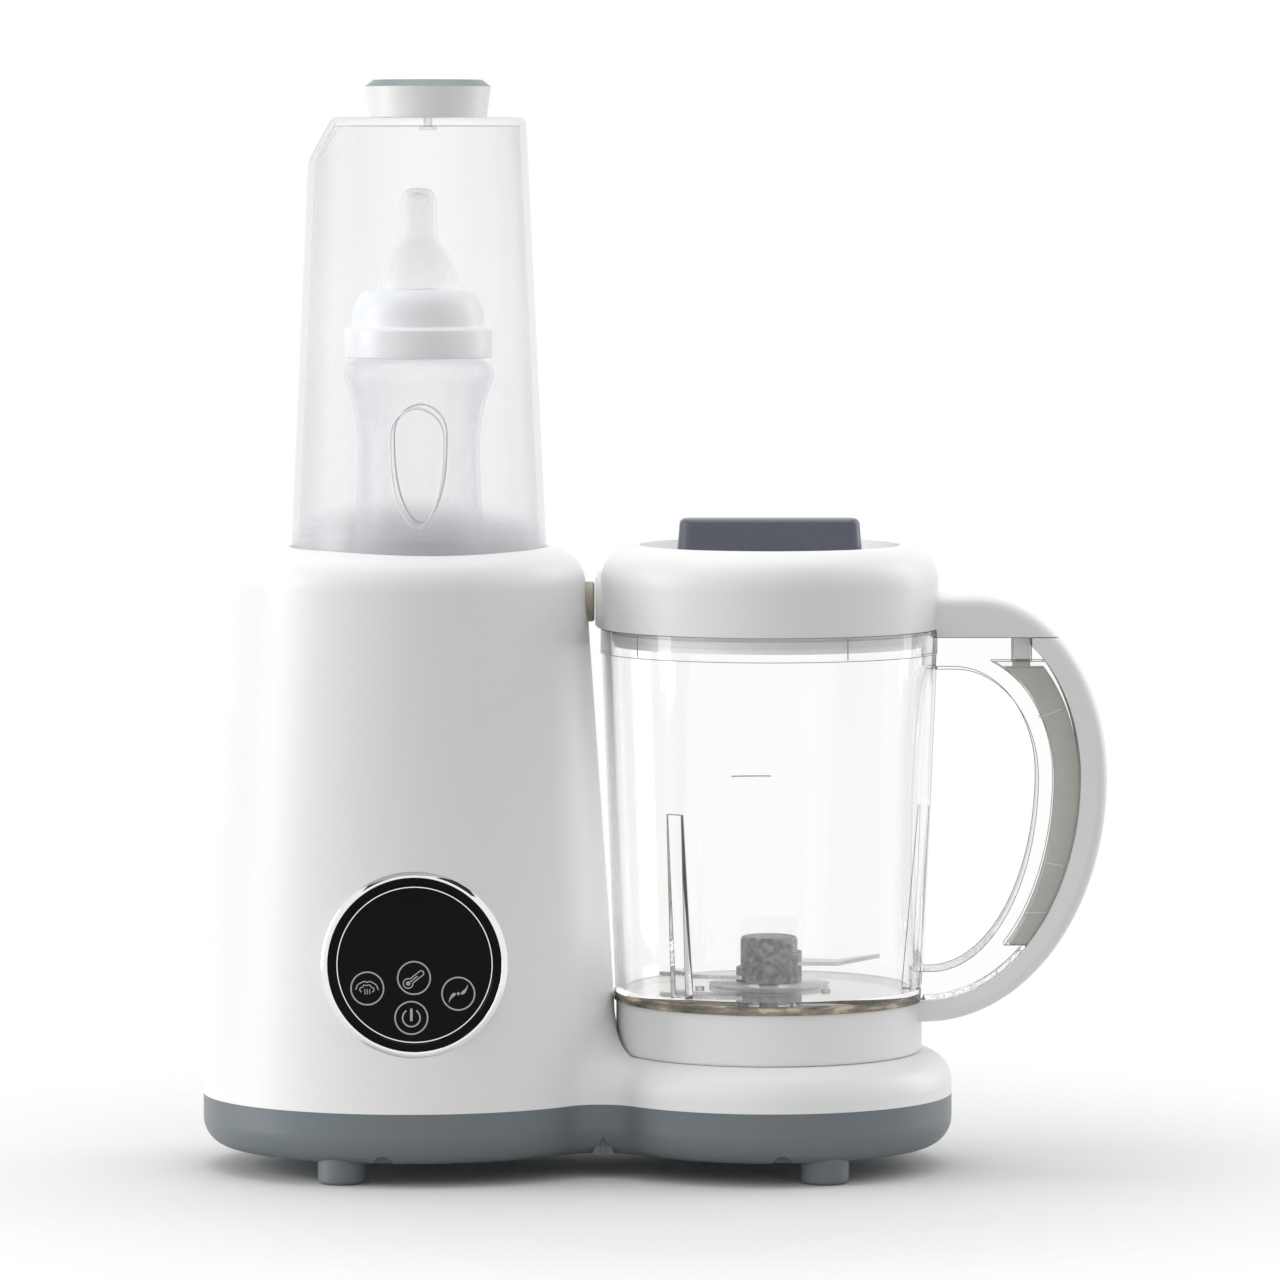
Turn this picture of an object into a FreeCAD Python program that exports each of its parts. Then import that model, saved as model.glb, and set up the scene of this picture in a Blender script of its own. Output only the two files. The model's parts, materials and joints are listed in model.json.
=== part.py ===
import FreeCAD, Part
import math
import os

V = FreeCAD.Vector

# Driving sizes in millimetres: base and feet
foot_height = 7.5
foot_radius = 8.25
foot_edge_round = 1.4
foot_spread = 96.0
foot_left_offset = -23.0
foot_right_offset = 18.5
tray_height = 18.3
tray_round = 10.0
wall = 2.5
waist_round = 15.0
screw_head_radius = 3.4
screw_head_height = 2.2
screw_radius = 1.6
screw_slot = 1.0
boss_radius = 4.6
boss_height = 12.0
screw_margin = 15.0
screw_tip_gap = 1.0
screw_turn = 35.0
notch_radius = 3.4
notch_length = 12.0
notch_left_offset = -8.4
notch_right_offset = 3.6
vee_width = 6.0
vee_height = 7.2
vee_depth = 12.0
tunnel_gap = 2.0

# Driving sizes: tower and platform
tower_half_width = 73.4
tower_top_half_width = 60.0
tower_flatness = 0.885
tower_height = 191.7
shoulder_round = 14.0
platform_radius = 64.2
platform_height = 14.8
platform_round = 11.0
jug_clearance = 1.2

# Driving sizes: hood and knob
hood_foot_radius = 44.75
hood_top_radius = 37.6
hood_height = 155.5
hood_wall = 2.3
hood_roof = 3.0
hood_edge_round = 2.5
hood_cut_width = 9.0
hood_cut_drop = 15.0
hood_seat_depth = 6.0
rim_gap = 0.6
knob_offset = 3.4
knob_foot_radius = 20.6
knob_radius = 22.0
knob_height = 10.7
knob_wall = 3.0
inlay_height = 2.3
inlay_bevel = 3.0
knob_screw_radius = 3.0

# Driving sizes: warming well and steam path
well_offset = 2.6
well_radius = 40.0
well_wall = 2.0
well_depth = 48.5
well_lip = 6.0
well_flange = 2.5
upstand_wall = 2.2
seal_height = 1.2
plate_height = 1.8
plate_gap = 0.2
element_radius = 24.0
element_width = 7.0
element_height = 6.0
element_opening = 40.0
terminal_height = 9.0
terminal_radius = 1.6
thermostat_radius = 8.0
thermostat_height = 7.0
duct_drop = 19.5
duct_radius = 5.2
duct_bore = 3.6
nozzle_radius = 7.0
nozzle_reach = 2.6
nozzle_root = 3.0
nozzle_edge_round = 0.9
port_gap = 0.3
port_length = 1.7

# Driving sizes: feeding bottle
bottle_base_radius = 25.0
bottle_waist_radius = 21.0
bottle_shoulder_radius = 26.4
bottle_waist_height = 77.0
bottle_body_height = 120.0
bottle_neck_radius = 20.2
bottle_neck_height = 14.0
bottle_wall = 1.8
bottle_base_round = 4.0
cap_ring_radius = 25.2
cap_ring_height = 16.0
cap_dome_height = 8.0
cap_top_radius = 14.4
cap_dome_bulge = 2.6
teat_flange_height = 1.6
teat_neck_radius = 7.6
teat_tip_radius = 6.8
teat_dome_height = 17.0
teat_height = 35.5
teat_wall = 1.4
teat_lap = 0.001

# Driving sizes: touch panel
panel_height = 51.2
panel_sink = 2.5
bezel_radius = 32.0
bezel_width = 2.6
bezel_proud = 1.3
bezel_edge_round = 0.78
bezel_lap = 1.5
bezel_skirt = 9.0
glass_height = 3.0
glass_round = 0.8
touch_board_radius = 25.0
touch_chip_radius = 6.0
board_height = 1.6

# Driving sizes: motor, belt and drive
motor_radius = 27.0
motor_height = 68.0
motor_cap_height = 5.0
motor_wall = 2.0
motor_boss_radius = 11.0
motor_boss_height = 4.0
armature_radius = 20.0
armature_gap = 6.0
shaft_radius = 4.0
running_gap = 0.05
bracket_size = 74.0
bracket_height = 3.0
bracket_rise = 30.7
bracket_gap = 1.0
post_radius = 4.0
post_inset = 6.0
motor_pulley_radius = 8.0
driven_pulley_radius = 24.0
pulley_flange = 2.0
pulley_flange_height = 1.2
belt_height = 8.0
belt_thickness = 1.6
belt_gap = 0.3
pulley_floor_gap = 3.0
bush_radius = 9.0
bush_length = 13.0
carrier_radius = 16.0
carrier_flange_radius = 21.0
carrier_flange_height = 3.0
dog_radius = 8.4
dog_height = 8.0
dog_lift = 0.8
dog_slot = 3.2
dog_core_radius = 4.8
spindle_gap = 2.0
dog_gap = 0.35

# Driving sizes: boards, switch and cord gland
power_board_width = 64.0
power_board_rise = 78.0
power_board_gap = 1.0
relay_depths = (6.4, 4.0, 8.0)
relay_width = 10.6
relay_pitch = 21.3
relay_low = 54.6
rail_height = 6.0
rail_length = 10.0
rail_wall = 2.0
switch_length = 20.0
switch_width = 6.5
switch_height = 10.5
switch_offset = 38.0
gland_radius = 7.0
gland_bore = 3.4
gland_flange = 2.4
gland_height = 12.0
gland_rise = 24.0

# Driving sizes: jug
collar_radius = 53.6
collar_height = 17.9
collar_wall = 3.0
collar_round = 1.2
base_seal_height = 2.0
base_seal_inset = 0.6
base_seal_width = 5.0
cup_foot_radius = 53.9
cup_top_radius = 58.9
rim_drop = 28.8
band_height = 8.2
cup_wall = 3.0
cup_floor = 2.5
rib_count = 2
rib_step = 120.0
rib_angle = -128.0
rib_width = 6.0
rib_depth = 4.2
rib_rise = 64.0
blade_bush_radius = 7.5
blade_bush_flange = 21.0
blade_bush_flange_height = 1.2
bush_nut_radius = 14.0
bush_nut_height = 4.0
rivet_radius = 1.6
rivet_height = 0.8
rivet_count = 3
rivet_angle = -41.0
rivet_circle = 25.7
rivet_depth = 1.5

# Driving sizes: blade
blade_shaft_radius = 3.5
blade_hub_radius = 11.5
blade_hub_top_radius = 10.0
blade_hub_step = 10.6
blade_hub_low_step = 5.0
hub_ramp_start = 10.0
hub_ramp_end = 1.0
blade_hub_height = 16.0
blade_hub_gap = 0.5
blade_reach = 38.5
blade_width = 12.0
blade_thickness = 1.4
blade_tip_rise = 3.0
blade_bend = 24.0
blade_sweep = 1.2
blade_seat = 6.0
blade_low_seat = 1.2
blade_riser = 6.5
coupling_radius = 13.0
coupling_height = 8.4
coupling_lift = 2.2
coupling_roof = 1.6

# Driving sizes: handle and interlock
handle_reach = 117.8
handle_mid = 76.5
handle_upper_reach = 46.2
handle_lower_reach = 63.2
handle_lower_drop = 85.7
cover_thickness = 9.2
cover_foot_thickness = 7.8
cover_wall = 2.4
cover_width = 26.0
cover_round = 4.0
cover_start = 91.4
frame_thickness = 14.8
frame_width = 21.0
frame_wall = 5.6
finger_upper_reach = 29.2
finger_lower_reach = 37.2
finger_top = 11.0
finger_bottom = 8.5
channel_width = 13.0
channel_top = 8.5
channel_bottom = 17.5
rod_gap = 0.4
rod_touch = 0.05
rod_end_gap = 0.4
rod_width = 11.0
rod_travel = 2.0
peg_width = 5.9
peg_depth = 10.0
peg_length = 8.3
peg_gap = 0.35
peg_round = 1.0

# Driving sizes: lid and cap
lid_radius = 59.2
lid_height = 29.0
lid_round = 13.0
lid_wall = 2.4
lid_gap = 0.3
recess_radius = 45.5
recess_depth = 5.5
recess_lip = 9.0
recess_floor = 2.4
arm_height = 14.4
arm_drop = 2.7
arm_root = 2.0
liner_depth = 6.0
liner_radius = 54.6
liner_wall = 2.0
lid_seal_height = 2.4
lid_seal_proud = 0.8
port_radius = 8.5
port_flange_radius = 10.5
port_flange_height = 1.0
port_bore = 4.0
cap_gap = 0.3
cap_floor = 2.4
cap_plug_gap = 0.4
cap_plug_wall = 2.2
cap_plug_depth = 9.0
cap_seal_height = 2.0
cap_seal_depth = 0.9
grip_length = 65.0
grip_width = 18.0
grip_height = 14.6
grip_draft = 1.2
grip_round = 2.0
grip_corner_round = 6.0

# Places worked out from the driving sizes: the steam path sets the tower and the jug apart
tower_taper = tower_half_width - tower_top_half_width
duct_half_width = tower_half_width - tower_taper * (1 - duct_drop / tower_height)
axis_gap = duct_half_width + nozzle_reach + port_gap + port_length + lid_radius
tower_x = tower_half_width - (tower_half_width + axis_gap + handle_reach) / 2
jug_x = tower_x + axis_gap
well_x = tower_x + well_offset

# Levels worked out from the driving sizes
floor_z = foot_height + wall
seam_z = foot_height + tray_height
tower_top_z = seam_z + tower_height
platform_z = seam_z + platform_height
hood_seat_z = tower_top_z - hood_seat_depth
hood_top_z = hood_seat_z + hood_height
well_floor_z = hood_seat_z - well_depth
duct_z = tower_top_z - duct_drop
collar_top_z = platform_z + collar_height
cup_z = collar_top_z + base_seal_height
cup_floor_z = cup_z + cup_floor
rim_z = tower_top_z - rim_drop
band_z = rim_z - band_height
lid_z = rim_z + lid_gap
lid_top_z = lid_z + lid_height
recess_z = lid_top_z - recess_depth
split_z = lid_z - arm_drop
pulley_z = floor_z + pulley_floor_gap
bracket_z = seam_z + bracket_rise
motor_z = bracket_z + bracket_height
bush_foot_z = platform_z - wall - bush_length
dog_z = platform_z + dog_lift
dog_top_z = dog_z + dog_height
coupling_z = platform_z + coupling_lift
coupling_top_z = coupling_z + coupling_height
hub_z = cup_floor_z + blade_bush_flange_height + blade_hub_gap
handle_mid_z = cup_z + handle_mid


def tube(radius, bore, low, high, x, y=0.0):
    body = Part.makeCylinder(radius, high - low, V(x, y, low))
    if bore > 0:
        body = body.cut(Part.makeCylinder(bore, high - low, V(x, y, low)))
    return body


def frustum(low_radius, high_radius, low, high, x):
    if abs(low_radius - high_radius) < 1e-6:
        return Part.makeCylinder(low_radius, high - low, V(x, 0, low))
    return Part.makeCone(low_radius, high_radius, high - low, V(x, 0, low))


def box(x0, x1, y0, y1, z0, z1):
    return Part.makeBox(x1 - x0, y1 - y0, z1 - z0, V(x0, y0, z0))


def merge(shapes):
    return shapes[0].fuse(shapes[1:])


def join(shapes):
    return merge(shapes).removeSplitter()


def level_edges(shape, z):
    return [e for e in shape.Edges if e.BoundBox.ZLength < 1e-4 and abs(e.BoundBox.ZMin - z) < 1e-4]


def revolve(points, x):
    outline = Part.makePolygon([V(x + r, 0, z) for r, z in points + points[:1]])
    return Part.Face(outline).revolve(V(x, 0, 0), V(0, 0, 1), 360)


def ellipse_wire(half_width, half_depth, z):
    centre = V(tower_x, 0, z)
    if half_width >= half_depth:
        curve = Part.Ellipse(centre + V(half_width, 0, 0), centre + V(0, half_depth, 0), centre)
    else:
        curve = Part.Ellipse(centre + V(0, half_depth, 0), centre - V(half_width, 0, 0), centre)
    return Part.Wire(curve.toShape())


def tower_width_at(z):
    share = (z - seam_z) / tower_height
    return tower_half_width + (tower_top_half_width - tower_half_width) * share


# White housing: tapered oval tower flowing into the round platform that carries the jug

def tower_block(inset):
    top = tower_top_z - inset
    rings = []
    for z in (seam_z, top):
        half = tower_width_at(z)
        rings.append(ellipse_wire(half - inset, half * tower_flatness - inset, z))
    block = Part.makeLoft(rings, True, True)
    return block.makeFillet(shoulder_round - inset, level_edges(block, top))


def platform_block(inset):
    block = Part.makeCylinder(platform_radius - inset, platform_height - inset, V(jug_x, 0, seam_z))
    return block.makeFillet(platform_round - inset, level_edges(block, platform_z - inset))


def shared_edges(block, first, second):
    edges = []
    for edge in block.Edges:
        middle = Part.Vertex(edge.valueAt((edge.FirstParameter + edge.LastParameter) / 2))
        level = edge.BoundBox.ZLength < 1e-4
        near = first.distToShape(middle)[0] < 1e-4 and second.distToShape(middle)[0] < 1e-4
        if near and not level:
            edges.append(edge)
    return edges


def waisted(first, second, radius):
    block = first.fuse(second).removeSplitter()
    creases = shared_edges(block, Part.Shell(first.Faces), Part.Shell(second.Faces))
    return block.makeFillet(radius, creases) if creases else block


def housing_block(inset):
    block = waisted(tower_block(inset), platform_block(inset), waist_round + inset)
    margin = jug_clearance + inset
    seat = Part.makeCylinder(collar_radius + margin, tower_height, V(jug_x, 0, platform_z - inset))
    cup = frustum(cup_foot_radius + margin, cup_top_radius + margin, cup_z, band_z, jug_x)
    return block.cut(seat).cut(cup)


def tray_block(inset):
    low = foot_height + inset
    oval = Part.Face(ellipse_wire(tower_half_width - inset, tower_half_width * tower_flatness - inset, low))
    oval = oval.extrude(V(0, 0, seam_z - low))
    disc = Part.makeCylinder(platform_radius - inset, seam_z - low, V(jug_x, 0, low))
    block = waisted(oval, disc, waist_round + inset)
    return block.makeFillet(tray_round - inset, level_edges(block, low))


foot_y = foot_spread / 2
foot_left_x = tower_x + foot_left_offset
foot_right_x = jug_x + foot_right_offset
foot_places = {
    "foot_front_left": (foot_left_x, -foot_y),
    "foot_front_right": (foot_right_x, -foot_y),
    "foot_rear_left": (foot_left_x, foot_y),
    "foot_rear_right": (foot_right_x, foot_y),
}
screw_places = []
for side in (-1, 1):
    screw_places.append((tower_x, side * (tower_half_width * tower_flatness - screw_margin)))
    reach = platform_radius - screw_margin
    turn = math.radians(screw_turn)
    screw_places.append((jug_x + reach * math.cos(turn), side * reach * math.sin(turn)))
post_places = []
for across in (-1, 1):
    for along in (-1, 1):
        reach = bracket_size / 2 - post_inset
        post_places.append((tower_x + across * reach, along * reach))
board_y = tower_half_width * tower_flatness - screw_margin - boss_radius - power_board_gap - board_height
gland_z = seam_z + gland_rise


def waist_notch(outer):
    # Inverted vee in the front of the waist, from the lower edge up
    middle = (tower_x + tower_half_width + jug_x - platform_radius) / 2
    probe = Part.makeLine(V(middle, -tower_half_width, seam_z - wall), V(middle, 0, seam_z - wall))
    front = outer.common(probe).BoundBox.YMin
    vee = Part.Face(Part.makePolygon([
        V(middle - vee_width / 2, front - vee_depth, foot_height),
        V(middle + vee_width / 2, front - vee_depth, foot_height),
        V(middle, front - vee_depth, foot_height + vee_height),
        V(middle - vee_width / 2, front - vee_depth, foot_height),
    ]))
    return vee.extrude(V(0, 2 * vee_depth, 0))


def belt_tunnel():
    half = driven_pulley_radius + belt_gap + belt_thickness + tunnel_gap
    return box(tower_x, jug_x, -half, half, pulley_z + pulley_flange_height, seam_z)


def make_base_tray(outer):
    tray = outer.cut(tray_block(wall)).cut(belt_tunnel()).cut(waist_notch(outer))
    adds = [tube(boss_radius, 0, floor_z, seam_z, x, y) for x, y in screw_places]
    adds += [tube(post_radius, 0, floor_z, bracket_z, x, y) for x, y in post_places]
    for end in (-1, 1):
        x0 = tower_x + end * (power_board_width / 2 - rail_length / 2)
        slot = box(x0 - rail_length / 2, x0 + rail_length / 2, board_y, board_y + board_height, floor_z,
                   floor_z + rail_height)
        rail = box(x0 - rail_length / 2, x0 + rail_length / 2, board_y - rail_wall,
                   board_y + board_height + rail_wall, floor_z, floor_z + rail_height)
        adds.append(rail.cut(slot))
    tray = join([tray] + adds)
    fronts = (tower_half_width * tower_flatness, platform_radius)
    for x, front in zip((tower_x + notch_left_offset, jug_x + notch_right_offset), fronts):
        tray = tray.cut(Part.makeCylinder(notch_radius, notch_length, V(x, -front, foot_height), V(0, 1, 0)))
    for x, y in screw_places:
        tray = tray.cut(tube(screw_head_radius, 0, foot_height, foot_height + screw_head_height, x, y))
        tray = tray.cut(tube(screw_radius, 0, foot_height, seam_z, x, y))
    return tray


def make_base_screws():
    screws = []
    for x, y in screw_places:
        head = tube(screw_head_radius, 0, foot_height, foot_height + screw_head_height, x, y)
        slot = box(x - screw_head_radius, x + screw_head_radius, y - screw_slot / 2, y + screw_slot / 2,
                   foot_height, foot_height + screw_head_height / 2)
        shank = tube(screw_radius, 0, foot_height, seam_z + boss_height - screw_tip_gap, x, y)
        screws.append(join([head, shank]).cut(slot))
    return Part.makeCompound(screws)


def make_foot(x, y, tray):
    foot = Part.makeCylinder(foot_radius, foot_height + tray_round, V(x, y, 0))
    foot = foot.makeFillet(foot_edge_round, level_edges(foot, 0))
    return min(foot.cut(tray).Solids, key=lambda s: s.BoundBox.ZMin)


# Touch panel frame: the glass lies square to the leaning front of the tower
panel_z = seam_z + panel_height
lean = math.atan((tower_half_width - tower_top_half_width) * tower_flatness / tower_height)
panel_front = V(well_x, -tower_width_at(panel_z) * tower_flatness, panel_z)
panel_out = V(0, -math.cos(lean), math.sin(lean))


def panel_disc(radius, low, high):
    return Part.makeCylinder(radius, high - low, panel_front + panel_out * (low - panel_sink), panel_out)


def panel_ring(radius, bore, low, high):
    return panel_disc(radius, low, high).cut(panel_disc(bore, low, high))


def panel_edges(shape, level):
    depths = [(e, (e.CenterOfMass - panel_front).dot(panel_out) + panel_sink) for e in shape.Edges]
    return [e for e, depth in depths if abs(depth - level) < 1e-4]


hole_radius = bezel_radius - bezel_lap


def make_main_housing(outer, inner):
    body = outer.cut(inner)
    adds = []
    for x, y in screw_places:
        adds.append(tube(boss_radius, 0, seam_z, seam_z + boss_height, x, y))
        near_y = min(y, y + math.copysign(screw_margin, y))
        web = box(x - wall / 2, x + wall / 2, near_y, near_y + screw_margin, seam_z, seam_z + boss_height)
        adds.append(web)
    body = merge([body] + [a.common(outer) for a in adds])
    for x, y in screw_places:
        body = body.cut(tube(screw_radius, 0, seam_z, seam_z + boss_height - screw_tip_gap, x, y))
    rim_hole = Part.makeCylinder(hood_foot_radius + rim_gap, tower_height / 2,
                                 V(well_x, 0, hood_seat_z - well_flange))
    body = body.cut(rim_hole)
    body = body.cut(panel_disc(hole_radius, -bezel_skirt, bezel_skirt * 2))
    body = body.cut(panel_disc(bezel_radius, -bezel_proud, bezel_skirt * 2))
    body = body.cut(tube(shaft_radius + spindle_gap, 0, seam_z, dog_top_z, jug_x))
    body = body.cut(Part.makeCylinder(duct_radius, tower_half_width, V(tower_x, 0, duct_z), V(1, 0, 0)))
    gland_hole = Part.makeCylinder(gland_radius, tower_half_width, V(tower_x, 0, gland_z), V(0, 1, 0))
    return body.cut(gland_hole)


# Warming well: cup hung under the tower rim, with the heater plate on its lip
well_outer = well_radius + well_wall
plate_low_z = well_floor_z - plate_height
lip_z = plate_low_z - seal_height
well_bottom_z = lip_z - well_wall


def make_warming_well(housing):
    rim = hood_foot_radius + rim_gap
    profile = [
        (well_radius - well_lip, well_bottom_z),
        (well_outer, well_bottom_z),
        (well_outer, hood_seat_z - well_flange),
        (rim + upstand_wall, hood_seat_z - well_flange),
        (rim + upstand_wall, tower_top_z),
        (rim, tower_top_z),
        (rim, hood_seat_z),
        (well_radius, hood_seat_z),
        (well_radius, lip_z),
        (well_radius - well_lip, lip_z),
    ]
    well = revolve(profile, well_x).cut(housing)
    well = max(well.Solids, key=lambda s: s.Volume)
    bore = Part.makeCylinder(duct_bore, well_outer, V(well_x, 0, duct_z), V(1, 0, 0))
    return well.cut(bore)


def make_well_seal():
    return tube(well_radius - plate_gap, well_radius - well_lip + seal_height, lip_z, plate_low_z, well_x)


def make_heater_plate():
    return tube(well_radius - plate_gap, 0, plate_low_z, well_floor_z, well_x)


def make_heating_element():
    low = plate_low_z - element_height
    ring = tube(element_radius + element_width / 2, element_radius - element_width / 2, low, plate_low_z,
                well_x)
    half = math.radians(element_opening / 2)
    far = 2 * element_radius
    wedge = Part.Face(Part.makePolygon([
        V(well_x, 0, low),
        V(well_x + far * math.cos(half), far * math.sin(half), low),
        V(well_x + far * math.cos(half), -far * math.sin(half), low),
        V(well_x, 0, low),
    ])).extrude(V(0, 0, element_height))
    pins = []
    end = half + element_width / element_radius / 2
    for side in (-1, 1):
        x = well_x + element_radius * math.cos(end)
        y = side * element_radius * math.sin(end)
        pins.append(tube(terminal_radius, 0, low - terminal_height, low, x, y))
    return join([ring.cut(wedge)] + pins)


def make_thermostat():
    low = plate_low_z - thermostat_height
    can = tube(thermostat_radius, 0, low, plate_low_z, well_x)
    tabs = []
    for side in (-1, 1):
        y = side * thermostat_radius / 2
        tabs.append(box(well_x - terminal_radius, well_x + terminal_radius, y - terminal_radius / 4,
                        y + terminal_radius / 4, low - terminal_height / 2, low))
    return join([can] + tabs)


# Steam path from the well through the tower flank to the jug lid
flank_x = tower_x + tower_width_at(duct_z)
nozzle_x = flank_x + nozzle_reach
port_x = nozzle_x + port_gap


def rod_x(radius, x0, x1, z):
    return Part.makeCylinder(radius, x1 - x0, V(x0, 0, z), V(1, 0, 0))


def make_steam_duct():
    pipe = rod_x(duct_radius, well_x, flank_x + nozzle_reach / 2, duct_z)
    pipe = pipe.cut(rod_x(duct_bore, well_x, nozzle_x, duct_z))
    return pipe.cut(tube(well_outer, 0, well_bottom_z, tower_top_z, well_x))


def make_steam_nozzle(outer):
    sleeve = rod_x(nozzle_radius, flank_x - nozzle_root, nozzle_x, duct_z)
    rim = [e for e in sleeve.Edges if e.BoundBox.XMin > nozzle_x - 1e-4]
    sleeve = sleeve.makeFillet(nozzle_edge_round, rim)
    sleeve = sleeve.cut(outer).cut(rod_x(duct_radius, well_x, flank_x + nozzle_reach / 2, duct_z))
    return sleeve.cut(rod_x(duct_bore, well_x, nozzle_x, duct_z)).Solids[0]


# Touch panel pieces

def make_panel_bezel(outer):
    bore = bezel_radius - bezel_width
    skirt = panel_ring(bezel_radius, hole_radius, -bezel_skirt, bezel_proud).cut(outer)
    head = panel_ring(bezel_radius, bore, -bezel_proud, bezel_proud)
    sleeve = panel_ring(hole_radius, bore, -glass_height - board_height, bezel_proud)
    ring = join([skirt, head, sleeve])
    return ring.makeFillet(bezel_edge_round, panel_edges(ring, bezel_proud))


def make_touch_glass():
    glass = panel_disc(bezel_radius - bezel_width, -glass_height, 0)
    return glass.makeFillet(glass_round, panel_edges(glass, 0))


def make_touch_board():
    board = panel_disc(touch_board_radius, -glass_height - board_height, -glass_height)
    chip = panel_disc(touch_chip_radius, -glass_height - 2 * board_height, -glass_height - board_height)
    return join([board, chip])


# Motor, belt and drive spindle
belt_low_z = pulley_z + pulley_flange_height
pulley_top_z = belt_low_z + belt_height + 2 * belt_gap + pulley_flange_height
bracket_half = bracket_size / 2


def make_motor_bracket():
    left = tower_x - bracket_half
    plate = box(left, left + bracket_size, -bracket_half, bracket_half, bracket_z, motor_z)
    corners = [e for e in plate.Edges if e.BoundBox.ZLength > bracket_height / 2]
    plate = plate.makeFillet(post_inset, corners)
    return plate.cut(tube(motor_boss_radius + bracket_gap, 0, bracket_z, motor_z, tower_x))


def make_motor_case():
    high = motor_z + motor_height
    shell = tube(motor_radius, motor_radius - motor_wall, motor_z + motor_cap_height, high, tower_x)
    roof = tube(motor_radius, shaft_radius + running_gap, high - motor_wall, high, tower_x)
    boss = tube(motor_boss_radius, shaft_radius + running_gap, high - motor_boss_height, high, tower_x)
    return join([shell, roof, boss])


def make_motor_cap():
    low = motor_z
    disc = tube(motor_radius, shaft_radius + running_gap, low, low + motor_cap_height, tower_x)
    boss = tube(motor_boss_radius, shaft_radius + running_gap, low - motor_boss_height, low, tower_x)
    return join([disc, boss])


def make_motor_shaft():
    shaft = tube(shaft_radius, 0, pulley_z, motor_z + motor_height, tower_x)
    core = tube(armature_radius, 0, motor_z + motor_cap_height + armature_gap,
                motor_z + motor_height - motor_boss_height - armature_gap, tower_x)
    return join([shaft, core])


def make_pulley(radius, x):
    hub = tube(radius, shaft_radius, pulley_z, pulley_top_z, x)
    lower = tube(radius + pulley_flange, shaft_radius, pulley_z, belt_low_z, x)
    upper = tube(radius + pulley_flange, shaft_radius, pulley_top_z - pulley_flange_height, pulley_top_z, x)
    return join([hub, lower, upper])


def belt_face(grow, z):
    small = motor_pulley_radius + belt_gap + grow
    large = driven_pulley_radius + belt_gap + grow
    tilt = math.asin((large - small) / (jug_x - tower_x))
    top_small = V(tower_x - small * math.sin(tilt), small * math.cos(tilt), z)
    top_large = V(jug_x - large * math.sin(tilt), large * math.cos(tilt), z)
    low_small = V(top_small.x, -top_small.y, z)
    low_large = V(top_large.x, -top_large.y, z)
    edges = [
        Part.Arc(top_small, V(tower_x - small, 0, z), low_small).toShape(),
        Part.makeLine(low_small, low_large),
        Part.Arc(low_large, V(jug_x + large, 0, z), top_large).toShape(),
        Part.makeLine(top_large, top_small),
    ]
    return Part.Face(Part.Wire(edges))


def make_drive_belt():
    low = belt_low_z + belt_gap
    band = belt_face(belt_thickness, low).cut(belt_face(0, low))
    return band.extrude(V(0, 0, belt_height)).Solids[0]


def make_drive_spindle():
    return tube(shaft_radius, 0, pulley_z, dog_top_z, jug_x)


def make_spindle_bush():
    return tube(bush_radius, shaft_radius + running_gap, bush_foot_z, platform_z - wall, jug_x)


def make_bearing_carrier():
    sleeve = tube(carrier_radius, bush_radius, bush_foot_z, platform_z - wall, jug_x)
    flange = tube(carrier_flange_radius, bush_radius, platform_z - wall - carrier_flange_height,
                  platform_z - wall, jug_x)
    return join([sleeve, flange])


def star(radius, low, high, grow):
    blades = [Part.makeCylinder(dog_core_radius + grow, high - low, V(jug_x, 0, low))]
    for turn in range(3):
        reach = radius + grow
        half = dog_slot / 2 + grow
        arm = box(jug_x - reach, jug_x + reach, -half, half, low, high)
        arm.rotate(V(jug_x, 0, 0), V(0, 0, 1), turn * 60)
        blades.append(arm)
    return join(blades)


def make_drive_dog():
    return star(dog_radius, dog_z, dog_top_z, 0).cut(make_drive_spindle())


# Boards, interlock switch and cord gland inside the housing

def make_power_board():
    x0 = tower_x - power_board_width / 2
    x1 = tower_x + power_board_width / 2
    board = box(x0, x1, board_y, board_y + board_height, floor_z, floor_z + power_board_rise)
    face_y = board_y + board_height
    parts = [board]
    for column, depth in enumerate(relay_depths):
        left = tower_x + relay_pitch * (column - 1) - relay_width / 2
        parts.append(box(left, left + relay_width, face_y, face_y + depth, floor_z + relay_low,
                         floor_z + power_board_rise - board_height))
    return join(parts)


def make_interlock_switch():
    x = jug_x + switch_offset
    high = platform_z - wall
    return box(x - switch_length / 2, x + switch_length / 2, -switch_width / 2, switch_width / 2,
               high - switch_height, high)


back_y = tower_width_at(gland_z) * tower_flatness


def make_cord_gland(inner):
    # Flange inside the wall and a short sleeve that ends inside the overall depth
    sleeve_end = tower_half_width * tower_flatness
    start = back_y - gland_height
    sleeve = Part.makeCylinder(gland_radius, sleeve_end - start, V(tower_x, start, gland_z), V(0, 1, 0))
    flange = Part.makeCylinder(gland_radius + gland_flange, sleeve_end - start,
                               V(tower_x, start, gland_z), V(0, 1, 0)).common(inner)
    body = join([sleeve, flange])
    bore = Part.makeCylinder(gland_bore, sleeve_end - start, V(tower_x, start, gland_z), V(0, 1, 0))
    return body.cut(bore)


# Jug: collar, seal, clear cup with its handle frame, blade bush
collar_plate_z = collar_top_z - collar_wall


def make_jug_collar():
    ring = tube(collar_radius, 0, platform_z, collar_top_z, jug_x)
    ring = ring.makeFillet(collar_round, level_edges(ring, platform_z))
    hollow = tube(collar_radius - collar_wall, 0, platform_z, collar_plate_z, jug_x)
    return ring.cut(hollow).cut(tube(blade_bush_radius, 0, platform_z, collar_top_z, jug_x))


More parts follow.
